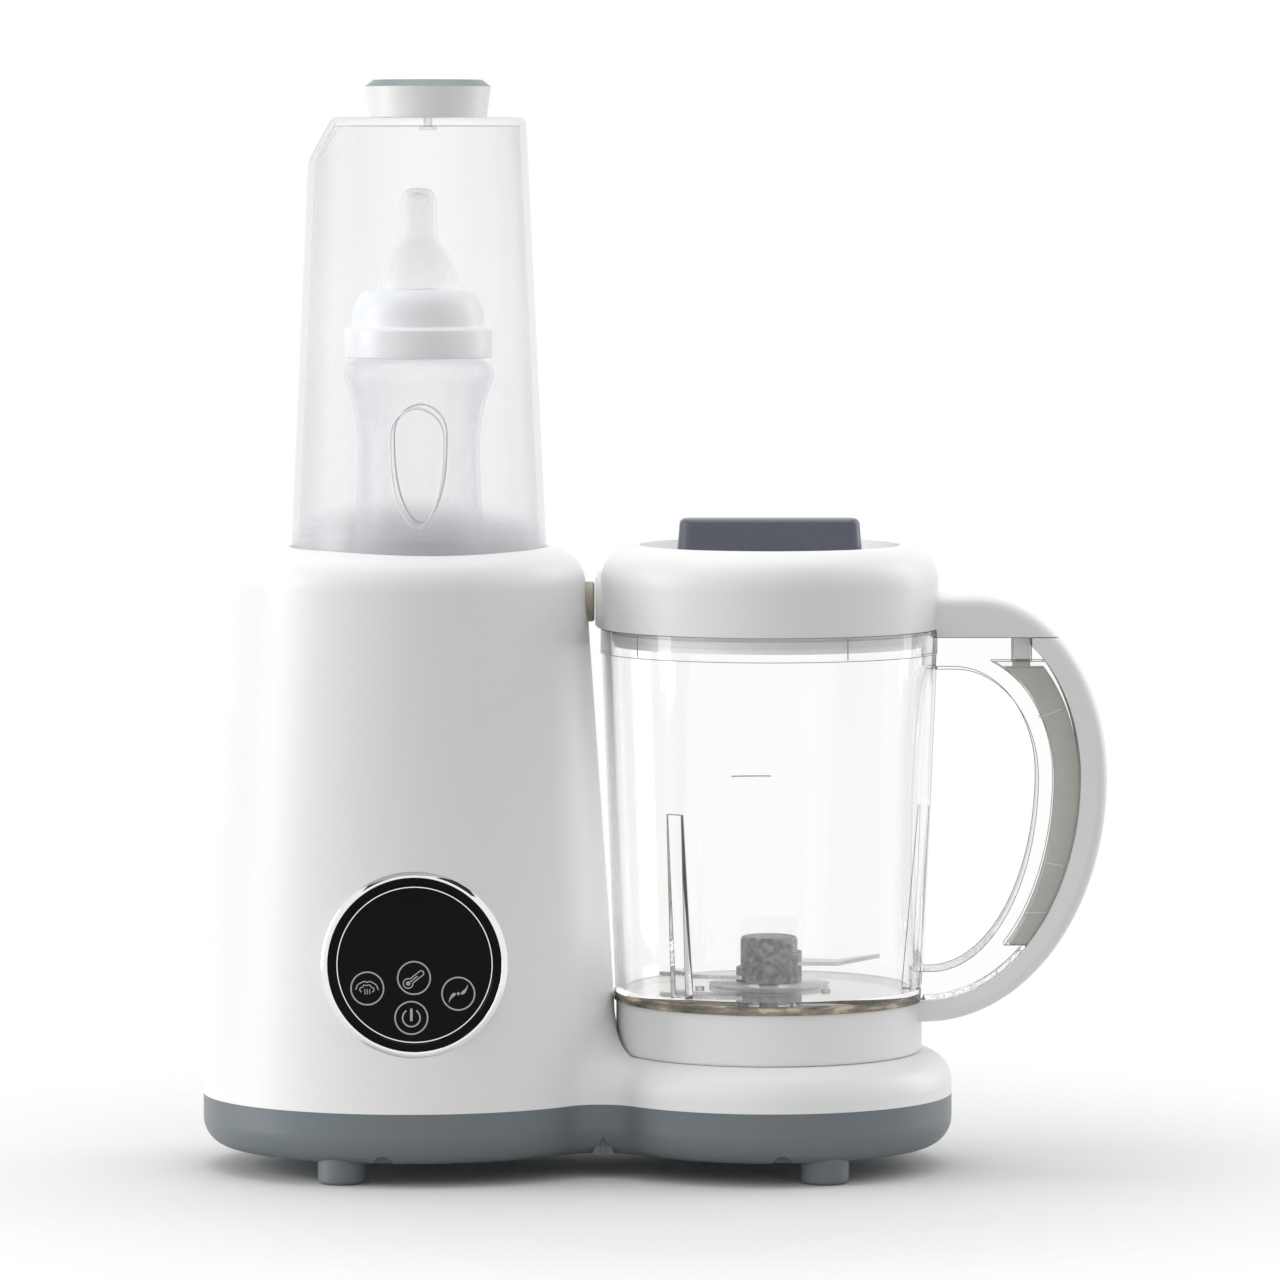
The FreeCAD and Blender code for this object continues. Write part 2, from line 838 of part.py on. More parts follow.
def make_base_seal():
    radius = cup_foot_radius - base_seal_inset
    return tube(radius, radius - base_seal_width, collar_top_z, cup_z, jug_x)


def quarter(centre_x, centre_z, across, upright, side):
    centre = V(centre_x, 0, centre_z)
    right = centre + V(across, 0, 0)
    tip = centre + V(0, 0, side * upright)
    if upright >= across:
        curve = Part.Ellipse(tip, right, centre)
    else:
        curve = Part.Ellipse(right, tip, centre)
    return Part.Arc(curve, 0, math.pi / 2).toShape()


def d_face(reach, mid_z, upper_reach, upper_height, lower_reach, lower_height, grow=0.0):
    right = jug_x + reach + grow
    top = V(right - upper_reach - grow, 0, mid_z + upper_height + grow)
    bottom = V(right - lower_reach - grow, 0, mid_z - lower_height - grow)
    edges = [
        quarter(top.x, mid_z, upper_reach + grow, upper_height + grow, 1),
        quarter(bottom.x, mid_z, lower_reach + grow, lower_height + grow, -1),
        Part.makeLine(bottom, V(jug_x, 0, bottom.z)),
        Part.makeLine(V(jug_x, 0, bottom.z), V(jug_x, 0, top.z)),
        Part.makeLine(V(jug_x, 0, top.z), top),
    ]
    return Part.Face(Part.Wire(Part.__sortEdges__(edges)))


def d_solid(face, width):
    body = face.extrude(V(0, width, 0))
    body.translate(V(0, -width / 2, 0))
    return body


outer_top = split_z + arm_height - handle_mid_z
inner_reach = handle_reach - cover_thickness
finger_reach = inner_reach - frame_thickness
frame_top = split_z - lid_gap
cover_foot_z = handle_mid_z - handle_lower_drop
channel_low_z = cup_z + channel_bottom
channel_high_z = frame_top - channel_top
slot_half = peg_depth / 2 + peg_gap
slot_x = jug_x + cover_start - peg_width - 2 * peg_gap
slot_low = frame_top - peg_length - peg_gap


def outer_d(grow=0.0):
    return d_face(handle_reach, handle_mid_z, handle_upper_reach, outer_top, handle_lower_reach,
                  handle_lower_drop, grow)


def cover_inner_d(grow=0.0):
    lower = handle_lower_drop - cover_foot_thickness
    return d_face(inner_reach, handle_mid_z, handle_upper_reach - cover_thickness,
                  outer_top - cover_thickness, handle_lower_reach - cover_thickness, lower, grow)


def finger_d(grow=0.0):
    return d_face(finger_reach, handle_mid_z, finger_upper_reach, frame_top - finger_top - handle_mid_z,
                  finger_lower_reach, handle_mid_z - cup_z - finger_bottom, grow)


def handle_box(near, far, low, high):
    return box(jug_x + near, jug_x + far, -cover_width, cover_width, low, high)


def make_rib(turn):
    wall_radius = cup_foot_radius - cup_wall
    high = cup_floor_z + rib_rise
    rib = box(jug_x + wall_radius - rib_depth, jug_x + cup_foot_radius, -rib_width / 2, rib_width / 2,
              cup_floor_z, high)
    slope = [
        (0, cup_floor_z),
        (wall_radius - rib_depth, cup_floor_z),
        (wall_radius + cup_wall / 2, high),
        (0, high),
    ]
    rib = rib.cut(revolve(slope, jug_x))
    rib.rotate(V(jug_x, 0, 0), V(0, 0, 1), rib_angle + turn * rib_step)
    return rib


def make_jug_body():
    skin = frustum(cup_foot_radius, cup_top_radius, cup_z, band_z, jug_x)
    outer = join([skin, tube(lid_radius, 0, band_z, rim_z, jug_x)])
    hollow = frustum(cup_foot_radius - cup_wall, cup_top_radius - cup_wall, cup_floor_z, rim_z, jug_x)
    frame = d_solid(cover_inner_d(), frame_width)
    frame = frame.common(handle_box(0, handle_reach, cover_foot_z, frame_top))
    head = d_solid(outer_d(), frame_width).common(handle_box(0, cover_start, handle_mid_z, frame_top))
    frame = join([frame, head]).cut(d_solid(finger_d(), 2 * frame_width))
    frame = frame.cut(tube(cup_foot_radius, 0, platform_z, cup_z, jug_x))
    channel = d_solid(cover_inner_d(frame_wall), channel_width)
    channel = channel.cut(d_solid(finger_d(frame_wall), channel_width))
    channel = channel.common(handle_box(finger_reach / 2, handle_reach, channel_low_z, channel_high_z))
    slot = box(slot_x, jug_x + cover_start, -slot_half, slot_half, slot_low, frame_top)
    frame = frame.cut(channel).cut(slot)
    body = join([outer, frame]).cut(hollow)
    body = join([body] + [make_rib(turn) for turn in range(rib_count)])
    body = body.cut(tube(blade_bush_radius, 0, cup_z, cup_floor_z, jug_x))
    for x, y in rivet_places:
        body = body.cut(tube(rivet_radius / 2, 0, cup_floor_z - rivet_depth, cup_floor_z, x, y))
    return body


rivet_places = []
for turn in range(rivet_count):
    angle = math.radians(rivet_angle + turn * 360 / rivet_count)
    rivet_places.append((jug_x + rivet_circle * math.cos(angle), rivet_circle * math.sin(angle)))


def make_floor_screws():
    screws = []
    for x, y in rivet_places:
        head = tube(rivet_radius, 0, cup_floor_z, cup_floor_z + rivet_height, x, y)
        stem = tube(rivet_radius / 2, 0, cup_floor_z - rivet_depth, cup_floor_z, x, y)
        screws.append(join([head, stem]))
    return Part.makeCompound(screws)


def make_blade_bush():
    bore = blade_shaft_radius + running_gap
    sleeve = tube(blade_bush_radius, bore, collar_plate_z - bush_nut_height, cup_floor_z, jug_x)
    flange = tube(blade_bush_flange, bore, cup_floor_z, cup_floor_z + blade_bush_flange_height, jug_x)
    return join([sleeve, flange])


def make_bush_nut():
    low = collar_plate_z - bush_nut_height
    points = []
    for corner in range(7):
        angle = math.radians(60 * corner)
        points.append(V(jug_x + bush_nut_radius * math.cos(angle), bush_nut_radius * math.sin(angle), low))
    nut = Part.Face(Part.makePolygon(points)).extrude(V(0, 0, bush_nut_height))
    return nut.cut(tube(blade_bush_radius, 0, low, collar_plate_z, jug_x))


# Blade: stepped hub, two steel wings, shaft and star coupling
blade_z = hub_z + blade_seat


def make_blade_hub():
    high = hub_z + blade_hub_height
    core = tube(blade_hub_top_radius, 0, hub_z, high, jug_x)
    core = core.makeFillet(blade_thickness, level_edges(core, high))
    low_step = hub_z + blade_hub_low_step
    high_step = hub_z + blade_hub_step
    ramp = Part.Face(Part.makePolygon([
        V(jug_x - blade_hub_radius, -blade_hub_radius, hub_z),
        V(jug_x - blade_hub_radius, -blade_hub_radius, low_step),
        V(jug_x - hub_ramp_start, -blade_hub_radius, low_step),
        V(jug_x + hub_ramp_end, -blade_hub_radius, high_step),
        V(jug_x + blade_hub_radius, -blade_hub_radius, high_step),
        V(jug_x + blade_hub_radius, -blade_hub_radius, hub_z),
        V(jug_x - blade_hub_radius, -blade_hub_radius, hub_z),
    ])).extrude(V(0, 2 * blade_hub_radius, 0))
    shoulder = tube(blade_hub_radius, 0, hub_z, high_step, jug_x).common(ramp)
    return join([core, shoulder]).cut(make_blade_wings()).cut(make_blade_shaft())


def wing_plan(side, low, high):
    half = blade_width / 2
    tip = V(jug_x + blade_reach, -half * blade_sweep, low)
    plan = Part.Face(Part.Wire([
        Part.makeLine(V(jug_x, -half, low), V(jug_x, half, low)),
        Part.Arc(V(jug_x, half, low), V(jug_x + blade_bend, half / 2, low), tip).toShape(),
        Part.Arc(tip, V(jug_x + blade_bend, -half, low), V(jug_x, -half, low)).toShape(),
    ])).extrude(V(0, 0, high - low))
    plan.rotate(V(jug_x, 0, 0), V(0, 0, 1), side)
    return plan


def make_blade_wings():
    # One bent strip: a raised wing, a riser beside the shaft and a flat low wing
    low_z = hub_z + blade_low_seat
    tip_z = blade_z + blade_tip_rise
    outline = [
        (blade_reach, tip_z),
        (blade_reach, tip_z + blade_thickness),
        (blade_bend, blade_z + blade_thickness),
        (-blade_riser, blade_z + blade_thickness),
        (-blade_riser, low_z + blade_thickness),
        (-blade_reach, low_z + blade_thickness),
        (-blade_reach, low_z),
        (blade_thickness - blade_riser, low_z),
        (blade_thickness - blade_riser, blade_z),
        (blade_bend, blade_z),
        (blade_reach, tip_z),
    ]
    strip = Part.Face(Part.makePolygon([V(jug_x + x, -2 * blade_width, z) for x, z in outline]))
    strip = strip.extrude(V(0, 4 * blade_width, 0))
    plan = merge([wing_plan(side, low_z, tip_z + blade_thickness) for side in (0, 180)])
    return strip.common(plan).removeSplitter().cut(make_blade_shaft())


def make_blade_shaft():
    return tube(blade_shaft_radius, 0, coupling_top_z - coupling_roof, hub_z + blade_hub_step, jug_x)


def make_blade_coupling():
    body = tube(coupling_radius, 0, coupling_z, coupling_top_z, jug_x)
    socket = star(dog_radius, coupling_z, dog_top_z + dog_gap, dog_gap)
    return body.cut(socket).cut(make_blade_shaft())


# Handle cover and interlock push rod

def make_handle_cover():
    band = d_solid(outer_d(), cover_width).cut(d_solid(cover_inner_d(), cover_width))
    band = band.common(handle_box(collar_radius / 2, handle_reach, cover_foot_z, frame_top))
    band = band.cut(handle_box(0, cover_start, handle_mid_z, lid_top_z))
    band = band.makeFillet(cover_round, [e for e in band.Edges if outer_edge(e)])
    pocket = d_solid(outer_d(-cover_wall), cover_width - 2 * cover_wall)
    pocket = pocket.common(handle_box(finger_reach / 2, handle_reach, channel_low_z, channel_high_z))
    band = band.cut(pocket)
    band = band.cut(tube(collar_radius, 0, platform_z, collar_top_z, jug_x))
    return band.cut(tube(cup_foot_radius, 0, collar_top_z, cup_z, jug_x)).Solids[0]


def outer_edge(edge):
    middle = edge.valueAt((edge.FirstParameter + edge.LastParameter) / 2)
    on_side = abs(abs(middle.y) - cover_width / 2) < 1e-4 and edge.BoundBox.YLength < 1e-4
    flat = Part.Vertex(V(middle.x, 0, middle.z))
    return on_side and outer_d().OuterWire.distToShape(flat)[0] < 1e-3


def make_interlock_rod():
    # The curved rod keeps its gap to both walls all along its upward travel
    outer = d_solid(cover_inner_d(-rod_gap), rod_width)
    inner = d_solid(finger_d(frame_wall + rod_gap), rod_width)
    lift = V(0, 0, -rod_travel)
    rod = outer.common(outer.translated(lift)).cut(inner).cut(inner.translated(lift))
    low = channel_low_z + rod_end_gap
    high = channel_high_z - rod_travel - rod_end_gap
    rod = rod.common(handle_box(finger_reach / 2, handle_reach, low, high))
    head_half = slot_half - rod_gap
    head = box(slot_x + rod_gap, jug_x + cover_start - rod_gap, -head_half, head_half, high - rod_travel,
               frame_top - peg_length - rod_touch)
    return join([rod, head.cut(inner)])


# Lid: shell with interlock arm, grey liner, seal, steam port

def lid_profile(inset):
    crown = lid_top_z - inset
    side = lid_radius - inset
    bend = lid_round - inset
    outline = Part.Wire([
        Part.makeLine(V(jug_x, 0, lid_z), V(jug_x + side, 0, lid_z)),
        Part.makeLine(V(jug_x + side, 0, lid_z), V(jug_x + side, 0, crown - bend)),
        Part.Arc(V(jug_x + side, 0, crown - bend),
                 V(jug_x + side - bend * (1 - math.sqrt(0.5)), 0, crown - bend * (1 - math.sqrt(0.5))),
                 V(jug_x + side - bend, 0, crown)).toShape(),
        Part.makeLine(V(jug_x + side - bend, 0, crown), V(jug_x, 0, crown)),
        Part.makeLine(V(jug_x, 0, crown), V(jug_x, 0, lid_z)),
    ])
    return Part.Face(outline).revolve(V(jug_x, 0, 0), V(0, 0, 1), 360)


recess_floor_z = recess_z - cap_floor - cap_gap
opening_radius = recess_radius - recess_lip


def make_lid_shell():
    shell = lid_profile(0).cut(lid_profile(lid_wall))
    bowl = tube(recess_radius + lid_wall, 0, recess_floor_z - recess_floor, lid_top_z, jug_x)
    shell = join([shell, bowl.common(lid_profile(0))])
    shell = shell.cut(tube(recess_radius, 0, recess_floor_z, lid_top_z, jug_x))
    shell = shell.cut(tube(opening_radius, 0, recess_floor_z - recess_floor, recess_floor_z, jug_x))
    arm = d_solid(outer_d(), cover_width)
    arm = arm.common(handle_box(lid_radius - arm_root, handle_reach, split_z, lid_top_z))
    arm = arm.makeFillet(cover_round, [e for e in arm.Edges if outer_edge(e)])
    arm = arm.cut(lid_profile(arm_root / 2)).cut(tube(lid_radius + lid_gap, 0, split_z, lid_z, jug_x))
    peg = box(jug_x + cover_start - peg_width - peg_gap, jug_x + cover_start - peg_gap, -peg_depth / 2,
              peg_depth / 2, split_z - peg_length, split_z)
    peg = peg.makeFillet(peg_round, level_edges(peg, split_z - peg_length))
    shell = join([shell, arm, peg])
    return shell.cut(rod_x(port_bore, port_x, jug_x, duct_z))


def make_lid_liner():
    low = lid_z - liner_depth
    high = recess_floor_z - recess_floor
    skirt = tube(liner_radius, liner_radius - liner_wall, low, high, jug_x)
    top = tube(liner_radius, opening_radius + cap_plug_wall, high - liner_wall, high, jug_x)
    groove = tube(liner_radius, liner_radius - liner_wall / 2, low + liner_wall,
                  low + liner_wall + lid_seal_height, jug_x)
    body = join([skirt, top]).cut(groove)
    return body.cut(rod_x(port_bore, port_x, jug_x, duct_z))


def make_lid_seal():
    low = lid_z - liner_depth + liner_wall
    bore = liner_radius - liner_wall / 2
    return tube(liner_radius + lid_seal_proud, bore, low, low + lid_seal_height, jug_x)


def make_steam_port():
    root_x = jug_x - lid_radius / 2
    stub = rod_x(port_radius, port_x, root_x, duct_z)
    flange = rod_x(port_flange_radius, jug_x - lid_radius - port_flange_height, root_x, duct_z)
    body = join([stub, flange]).cut(lid_profile(0)).cut(rod_x(port_bore, port_x, jug_x, duct_z))
    body = max(body.Solids, key=lambda s: s.Volume)
    return body.common(box(port_x, jug_x, -lid_radius, lid_radius, lid_z, lid_top_z))


# Cap that turns in the lid: dish, grip bar and seal

def make_cap_dish():
    radius = recess_radius - cap_gap
    dish = tube(radius, 0, recess_z - cap_floor, recess_z, jug_x)
    plug_radius = opening_radius - cap_plug_gap
    plug = tube(plug_radius, plug_radius - cap_plug_wall, recess_z - cap_floor - cap_plug_depth,
                recess_z - cap_floor, jug_x)
    groove_low = recess_z - cap_floor - cap_plug_depth + cap_plug_wall
    groove = tube(plug_radius, plug_radius - cap_seal_depth, groove_low, groove_low + cap_seal_height, jug_x)
    return join([dish, plug]).cut(groove)


def make_cap_seal():
    plug_radius = opening_radius - cap_plug_gap
    low = recess_z - cap_floor - cap_plug_depth + cap_plug_wall
    return tube(plug_radius, plug_radius - cap_seal_depth, low, low + cap_seal_height, jug_x)


def make_cap_grip():
    rings = []
    for z, trim in ((recess_z, 0.0), (recess_z + grip_height, grip_draft)):
        half = grip_length / 2 - trim
        deep = grip_width / 2 - trim
        face = box(jug_x - half, jug_x + half, -deep, deep, z, z + 1.0)
        face = face.makeFillet(grip_corner_round - trim, [e for e in face.Edges if e.BoundBox.ZLength > 0.5])
        rings.append([f for f in face.Faces if abs(f.CenterOfMass.z - z) < 1e-4][0].OuterWire)
    bar = Part.makeLoft(rings, True, True)
    return bar.makeFillet(grip_round, level_edges(bar, recess_z + grip_height))


# Hood: clear tapered cover with a slanted facet, knob and inlay
knob_x = well_x + knob_offset
knob_top_z = hood_top_z + knob_height


def hood_radius_at(z):
    return hood_foot_radius + (hood_top_radius - hood_foot_radius) * (z - hood_seat_z) / hood_height


def hood_block(inset, top):
    block = frustum(hood_foot_radius - inset, hood_radius_at(top) - inset, hood_seat_z, top, well_x)
    edge_x = well_x - hood_top_radius
    facet = Part.Face(Part.makePolygon([
        V(edge_x + hood_cut_width, 0, hood_top_z),
        V(edge_x - hood_cut_width, 0, hood_top_z),
        V(edge_x - hood_cut_width, 0, hood_top_z - 2 * hood_cut_drop),
        V(edge_x + hood_cut_width, 0, hood_top_z),
    ]))
    facet.translate(V(inset, 0, 0))
    facet = facet.extrude(V(0, 4 * hood_foot_radius, 0))
    facet.translate(V(0, -2 * hood_foot_radius, 0))
    return block.cut(facet)


def make_hood_shell():
    outer = hood_block(0, hood_top_z)
    outer = outer.makeFillet(hood_edge_round, level_edges(outer, hood_top_z))
    shell = outer.cut(hood_block(hood_wall, hood_top_z - hood_roof))
    return shell.cut(tube(knob_screw_radius / 2, 0, hood_top_z - hood_roof, hood_top_z, knob_x))


def make_hood_knob():
    knob = frustum(knob_foot_radius, knob_radius, hood_top_z, knob_top_z, knob_x)
    roof_z = knob_top_z - knob_wall
    hollow = frustum(knob_foot_radius - knob_wall, knob_radius - knob_wall, hood_top_z, roof_z, knob_x)
    post = tube(knob_screw_radius + knob_wall, 0, hood_top_z, roof_z, knob_x)
    knob = join([knob.cut(hollow), post])
    return knob.cut(tube(knob_screw_radius / 2, 0, hood_top_z, roof_z, knob_x))


def make_knob_inlay():
    return frustum(knob_radius, knob_radius - inlay_bevel, knob_top_z, knob_top_z + inlay_height, knob_x)


def make_knob_screw():
    low = hood_top_z - hood_roof
    head = tube(knob_screw_radius, 0, low - knob_screw_radius / 2, low, knob_x)
    shank = tube(knob_screw_radius / 2, 0, low, knob_top_z - knob_wall, knob_x)
    return join([head, shank])


# Feeding bottle that stands in the well
bottle_z = well_floor_z
bottle_shoulder_z = bottle_z + bottle_body_height
neck_top_z = bottle_shoulder_z + bottle_neck_height
cap_dome_z = bottle_shoulder_z + cap_ring_height
cap_top_z = cap_dome_z + cap_dome_height


def spline_edge(points):
    curve = Part.BSplineCurve()
    curve.interpolate([V(well_x + r, 0, z) for r, z in points])
    return curve.toShape()


def bottle_belly(inset):
    low = bottle_z + inset
    high = bottle_shoulder_z - inset
    foot = bottle_base_radius - inset
    shoulder = bottle_shoulder_radius - inset
    side = spline_edge([
        (foot, low),
        (foot, bottle_z + bottle_waist_height / 2),
        (bottle_waist_radius - inset, bottle_z + bottle_waist_height),
        (shoulder, high),
    ])
    edges = [
        Part.makeLine(V(well_x, 0, low), V(well_x + foot, 0, low)),
        side,
        Part.makeLine(V(well_x + shoulder, 0, high), V(well_x, 0, high)),
        Part.makeLine(V(well_x, 0, high), V(well_x, 0, low)),
    ]
    return Part.Face(Part.Wire(edges)).revolve(V(well_x, 0, 0), V(0, 0, 1), 360)


def make_bottle_body():
    belly = bottle_belly(0)
    belly = belly.makeFillet(bottle_base_round, level_edges(belly, bottle_z))
    neck = tube(bottle_neck_radius, 0, bottle_shoulder_z, neck_top_z, well_x)
    mouth = tube(bottle_neck_radius - bottle_wall, 0, bottle_shoulder_z - bottle_wall, neck_top_z, well_x)
    return join([belly, neck]).cut(bottle_belly(bottle_wall)).cut(mouth)


def make_bottle_collar():
    radius = cap_ring_radius
    outline = Part.Wire([
        Part.makeLine(V(well_x, 0, bottle_shoulder_z), V(well_x + radius, 0, bottle_shoulder_z)),
        Part.makeLine(V(well_x + radius, 0, bottle_shoulder_z), V(well_x + radius, 0, cap_dome_z)),
        dome_edge(),
        Part.makeLine(V(well_x + cap_top_radius, 0, cap_top_z), V(well_x, 0, cap_top_z)),
        Part.makeLine(V(well_x, 0, cap_top_z), V(well_x, 0, bottle_shoulder_z)),
    ])
    body = Part.Face(outline).revolve(V(well_x, 0, 0), V(0, 0, 1), 360)
    bore = tube(bottle_neck_radius, 0, bottle_shoulder_z, neck_top_z + teat_flange_height, well_x)
    return body.cut(bore).cut(teat_block())


def dome_edge():
    start = V(well_x + cap_ring_radius, 0, cap_dome_z)
    end = V(well_x + cap_top_radius, 0, cap_top_z)
    chord = end - start
    middle = (start + end) * 0.5 + V(chord.z, 0, -chord.x) * (cap_dome_bulge / chord.Length)
    return Part.Arc(start, middle, end).toShape()


def teat_profile(inset):
    base = cap_top_radius - inset
    root_z = neck_top_z + teat_flange_height - teat_lap
    dome_z = cap_top_z + teat_dome_height
    tip_z = cap_top_z + teat_height - inset
    tip = teat_tip_radius - inset
    neck = teat_neck_radius - inset
    bulge_z = cap_top_z + teat_dome_height / 3
    side = spline_edge([(base, cap_top_z), (base - teat_wall, bulge_z), (neck, dome_z)])
    crown = V(well_x + tip * math.sqrt(0.5), 0, tip_z - tip * (1 - math.sqrt(0.5)))
    edges = [
        Part.makeLine(V(well_x, 0, root_z), V(well_x + base, 0, root_z)),
        Part.makeLine(V(well_x + base, 0, root_z), V(well_x + base, 0, cap_top_z)),
        side,
        Part.makeLine(V(well_x + neck, 0, dome_z), V(well_x + tip, 0, tip_z - tip)),
        Part.Arc(V(well_x + tip, 0, tip_z - tip), crown, V(well_x, 0, tip_z)).toShape(),
        Part.makeLine(V(well_x, 0, tip_z), V(well_x, 0, root_z)),
    ]
    return Part.Face(Part.Wire(edges)).revolve(V(well_x, 0, 0), V(0, 0, 1), 360)


def teat_block():
    flange = tube(bottle_neck_radius, 0, neck_top_z, neck_top_z + teat_flange_height, well_x)
    return join([flange, teat_profile(0)])


def make_bottle_teat():
    hollow = join([teat_profile(teat_wall), tube(cap_top_radius - teat_wall, 0, neck_top_z,
                                                 neck_top_z + teat_flange_height, well_x)])
    return teat_block().cut(hollow)


def build():
    outer = housing_block(0)
    inner = housing_block(wall)
    tray = tray_block(0)
    housing = make_main_housing(outer, inner)
    nodes = {
        "base_tray": make_base_tray(tray),
        "base_screws": make_base_screws(),
        "main_housing": housing,
        "warming_well": make_warming_well(housing),
        "well_seal": make_well_seal(),
        "heater_plate": make_heater_plate(),
        "heating_element": make_heating_element(),
        "thermostat": make_thermostat(),
        "steam_duct": make_steam_duct(),
        "steam_nozzle": make_steam_nozzle(outer),
        "panel_bezel": make_panel_bezel(outer),
        "touch_glass": make_touch_glass(),
        "touch_board": make_touch_board(),
        "motor_bracket": make_motor_bracket(),
        "motor_case": make_motor_case(),
        "motor_cap": make_motor_cap(),
        "motor_shaft": make_motor_shaft(),
        "motor_pulley": make_pulley(motor_pulley_radius, tower_x),
        "drive_belt": make_drive_belt(),
        "driven_pulley": make_pulley(driven_pulley_radius, jug_x),
        "drive_spindle": make_drive_spindle(),
        "drive_dog": make_drive_dog(),
        "spindle_bush": make_spindle_bush(),
        "bearing_carrier": make_bearing_carrier(),
        "power_board": make_power_board(),
        "interlock_switch": make_interlock_switch(),
        "cord_gland": make_cord_gland(inner),
        "jug_collar": make_jug_collar(),
        "jug_base_seal": make_base_seal(),
        "jug_body": make_jug_body(),
        "floor_screws": make_floor_screws(),
        "blade_bush": make_blade_bush(),
        "bush_nut": make_bush_nut(),
        "blade_hub": make_blade_hub(),
        "blade_wings": make_blade_wings(),
        "blade_shaft": make_blade_shaft(),
        "blade_coupling": make_blade_coupling(),
        "handle_cover": make_handle_cover(),
        "interlock_rod": make_interlock_rod(),
        "lid_shell": make_lid_shell(),
        "lid_liner": make_lid_liner(),
        "lid_seal": make_lid_seal(),
        "steam_port": make_steam_port(),
        "cap_dish": make_cap_dish(),
        "cap_grip": make_cap_grip(),
        "cap_seal": make_cap_seal(),
        "hood_shell": make_hood_shell(),
        "hood_knob": make_hood_knob(),
        "knob_inlay": make_knob_inlay(),
        "knob_screw": make_knob_screw(),
        "bottle_body": make_bottle_body(),
        "bottle_collar": make_bottle_collar(),
        "bottle_teat": make_bottle_teat(),
    }
    for name, (x, y) in foot_places.items():
        nodes[name] = make_foot(x, y, tray)
    os.makedirs("parts", exist_ok=True)
    for name, shape in nodes.items():
        shape.exportStep("parts/" + name + ".step")
        print(name, len(shape.Solids), shape.isValid(), round(shape.Volume, 1))


build()
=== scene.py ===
import json
import math
import bmesh
import bpy
import numpy as np
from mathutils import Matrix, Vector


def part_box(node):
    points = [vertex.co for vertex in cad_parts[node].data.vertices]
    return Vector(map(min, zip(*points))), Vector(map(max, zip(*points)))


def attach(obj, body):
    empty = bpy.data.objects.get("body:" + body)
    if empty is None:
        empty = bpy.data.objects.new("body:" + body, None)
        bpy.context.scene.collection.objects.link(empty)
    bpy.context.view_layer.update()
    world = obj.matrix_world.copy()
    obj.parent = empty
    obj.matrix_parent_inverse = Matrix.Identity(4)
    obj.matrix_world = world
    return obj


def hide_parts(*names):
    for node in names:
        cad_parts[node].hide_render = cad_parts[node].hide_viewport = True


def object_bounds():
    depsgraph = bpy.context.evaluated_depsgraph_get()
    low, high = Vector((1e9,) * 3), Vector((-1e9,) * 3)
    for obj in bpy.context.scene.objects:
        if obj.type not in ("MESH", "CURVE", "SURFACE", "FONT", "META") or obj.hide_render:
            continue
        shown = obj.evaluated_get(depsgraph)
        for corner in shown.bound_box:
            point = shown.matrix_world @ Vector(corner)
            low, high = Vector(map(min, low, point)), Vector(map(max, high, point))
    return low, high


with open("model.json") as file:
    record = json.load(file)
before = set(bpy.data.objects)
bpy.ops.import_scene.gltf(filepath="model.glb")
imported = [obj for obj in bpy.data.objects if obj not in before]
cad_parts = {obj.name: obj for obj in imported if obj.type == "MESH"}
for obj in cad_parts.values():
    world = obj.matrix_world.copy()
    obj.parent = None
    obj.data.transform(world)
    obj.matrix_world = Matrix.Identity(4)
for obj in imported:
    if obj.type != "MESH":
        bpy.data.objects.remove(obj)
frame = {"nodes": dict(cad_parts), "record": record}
cadLow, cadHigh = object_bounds()
cadNodes = frame["nodes"]
mm = 0.001
weld = 1e-7                # points nearer than this, in metres, are one
tiny = 1e-12               # keeps a length that is divided by off zero
noiseRange = (0.3, 0.7)    # most of a noise's values lie between these
print("frame loaded:", len(cadNodes), "nodes")


# Quads between the points of a grid: each row is closed round, and the rows too where asked
def gridFaces(rows, columns, closeRows=False):
    row = np.arange(rows if closeRows else rows - 1)
    i, j = np.meshgrid(row, np.arange(columns), indexing="ij")
    below, beside = (i + 1) % rows, (j + 1) % columns
    quads = [i * columns + j, i * columns + beside, below * columns + beside, below * columns + j]
    return np.stack(quads, -1).reshape(-1, 4)


# Faces of a four-sided bar: its sides, and both its ends where it isn't closed on itself
def barFaces(count, closed=False):
    sides = [list(f) for f in gridFaces(count, 4, closeRows=closed)]
    last = 4 * (count - 1)
    return sides if closed else sides + [[3, 2, 1, 0], [last, last + 1, last + 2, last + 3]]


# Parts joined to one: each part's faces count on from the points before it
def joined(parts):
    points, faces = [], []
    for spots, quads in parts:
        first = sum(len(p) for p in points)
        faces += [[first + v for v in f] for f in quads]
        points.append(spots)
    return np.vstack(points), faces


# A new object in the scene, from its data
def addObject(name, data):
    thing = bpy.data.objects.new(name, data)
    bpy.context.scene.collection.objects.link(thing)
    return thing


# One finished piece: points and faces go in as arrays, poles are merged, faces turned outwards
def addPiece(name, points, faces, body, material, slotName=None, sharpAngle=32):
    mesh = bpy.data.meshes.new(name)
    mesh.from_pydata(points.reshape(-1, 3).tolist(), [], [list(f) for f in faces])
    work = bmesh.new()
    work.from_mesh(mesh)
    bmesh.ops.remove_doubles(work, verts=work.verts, dist=weld)
    bmesh.ops.recalc_face_normals(work, faces=work.faces)
    work.to_mesh(mesh)
    work.free()
    mesh.polygons.foreach_set("use_smooth", np.ones(len(mesh.polygons), bool))
    mesh.set_sharp_from_angle(angle=math.radians(sharpAngle))
    mesh.materials.append(material)
    piece = addObject(name, mesh)
    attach(piece, body)
    return piece


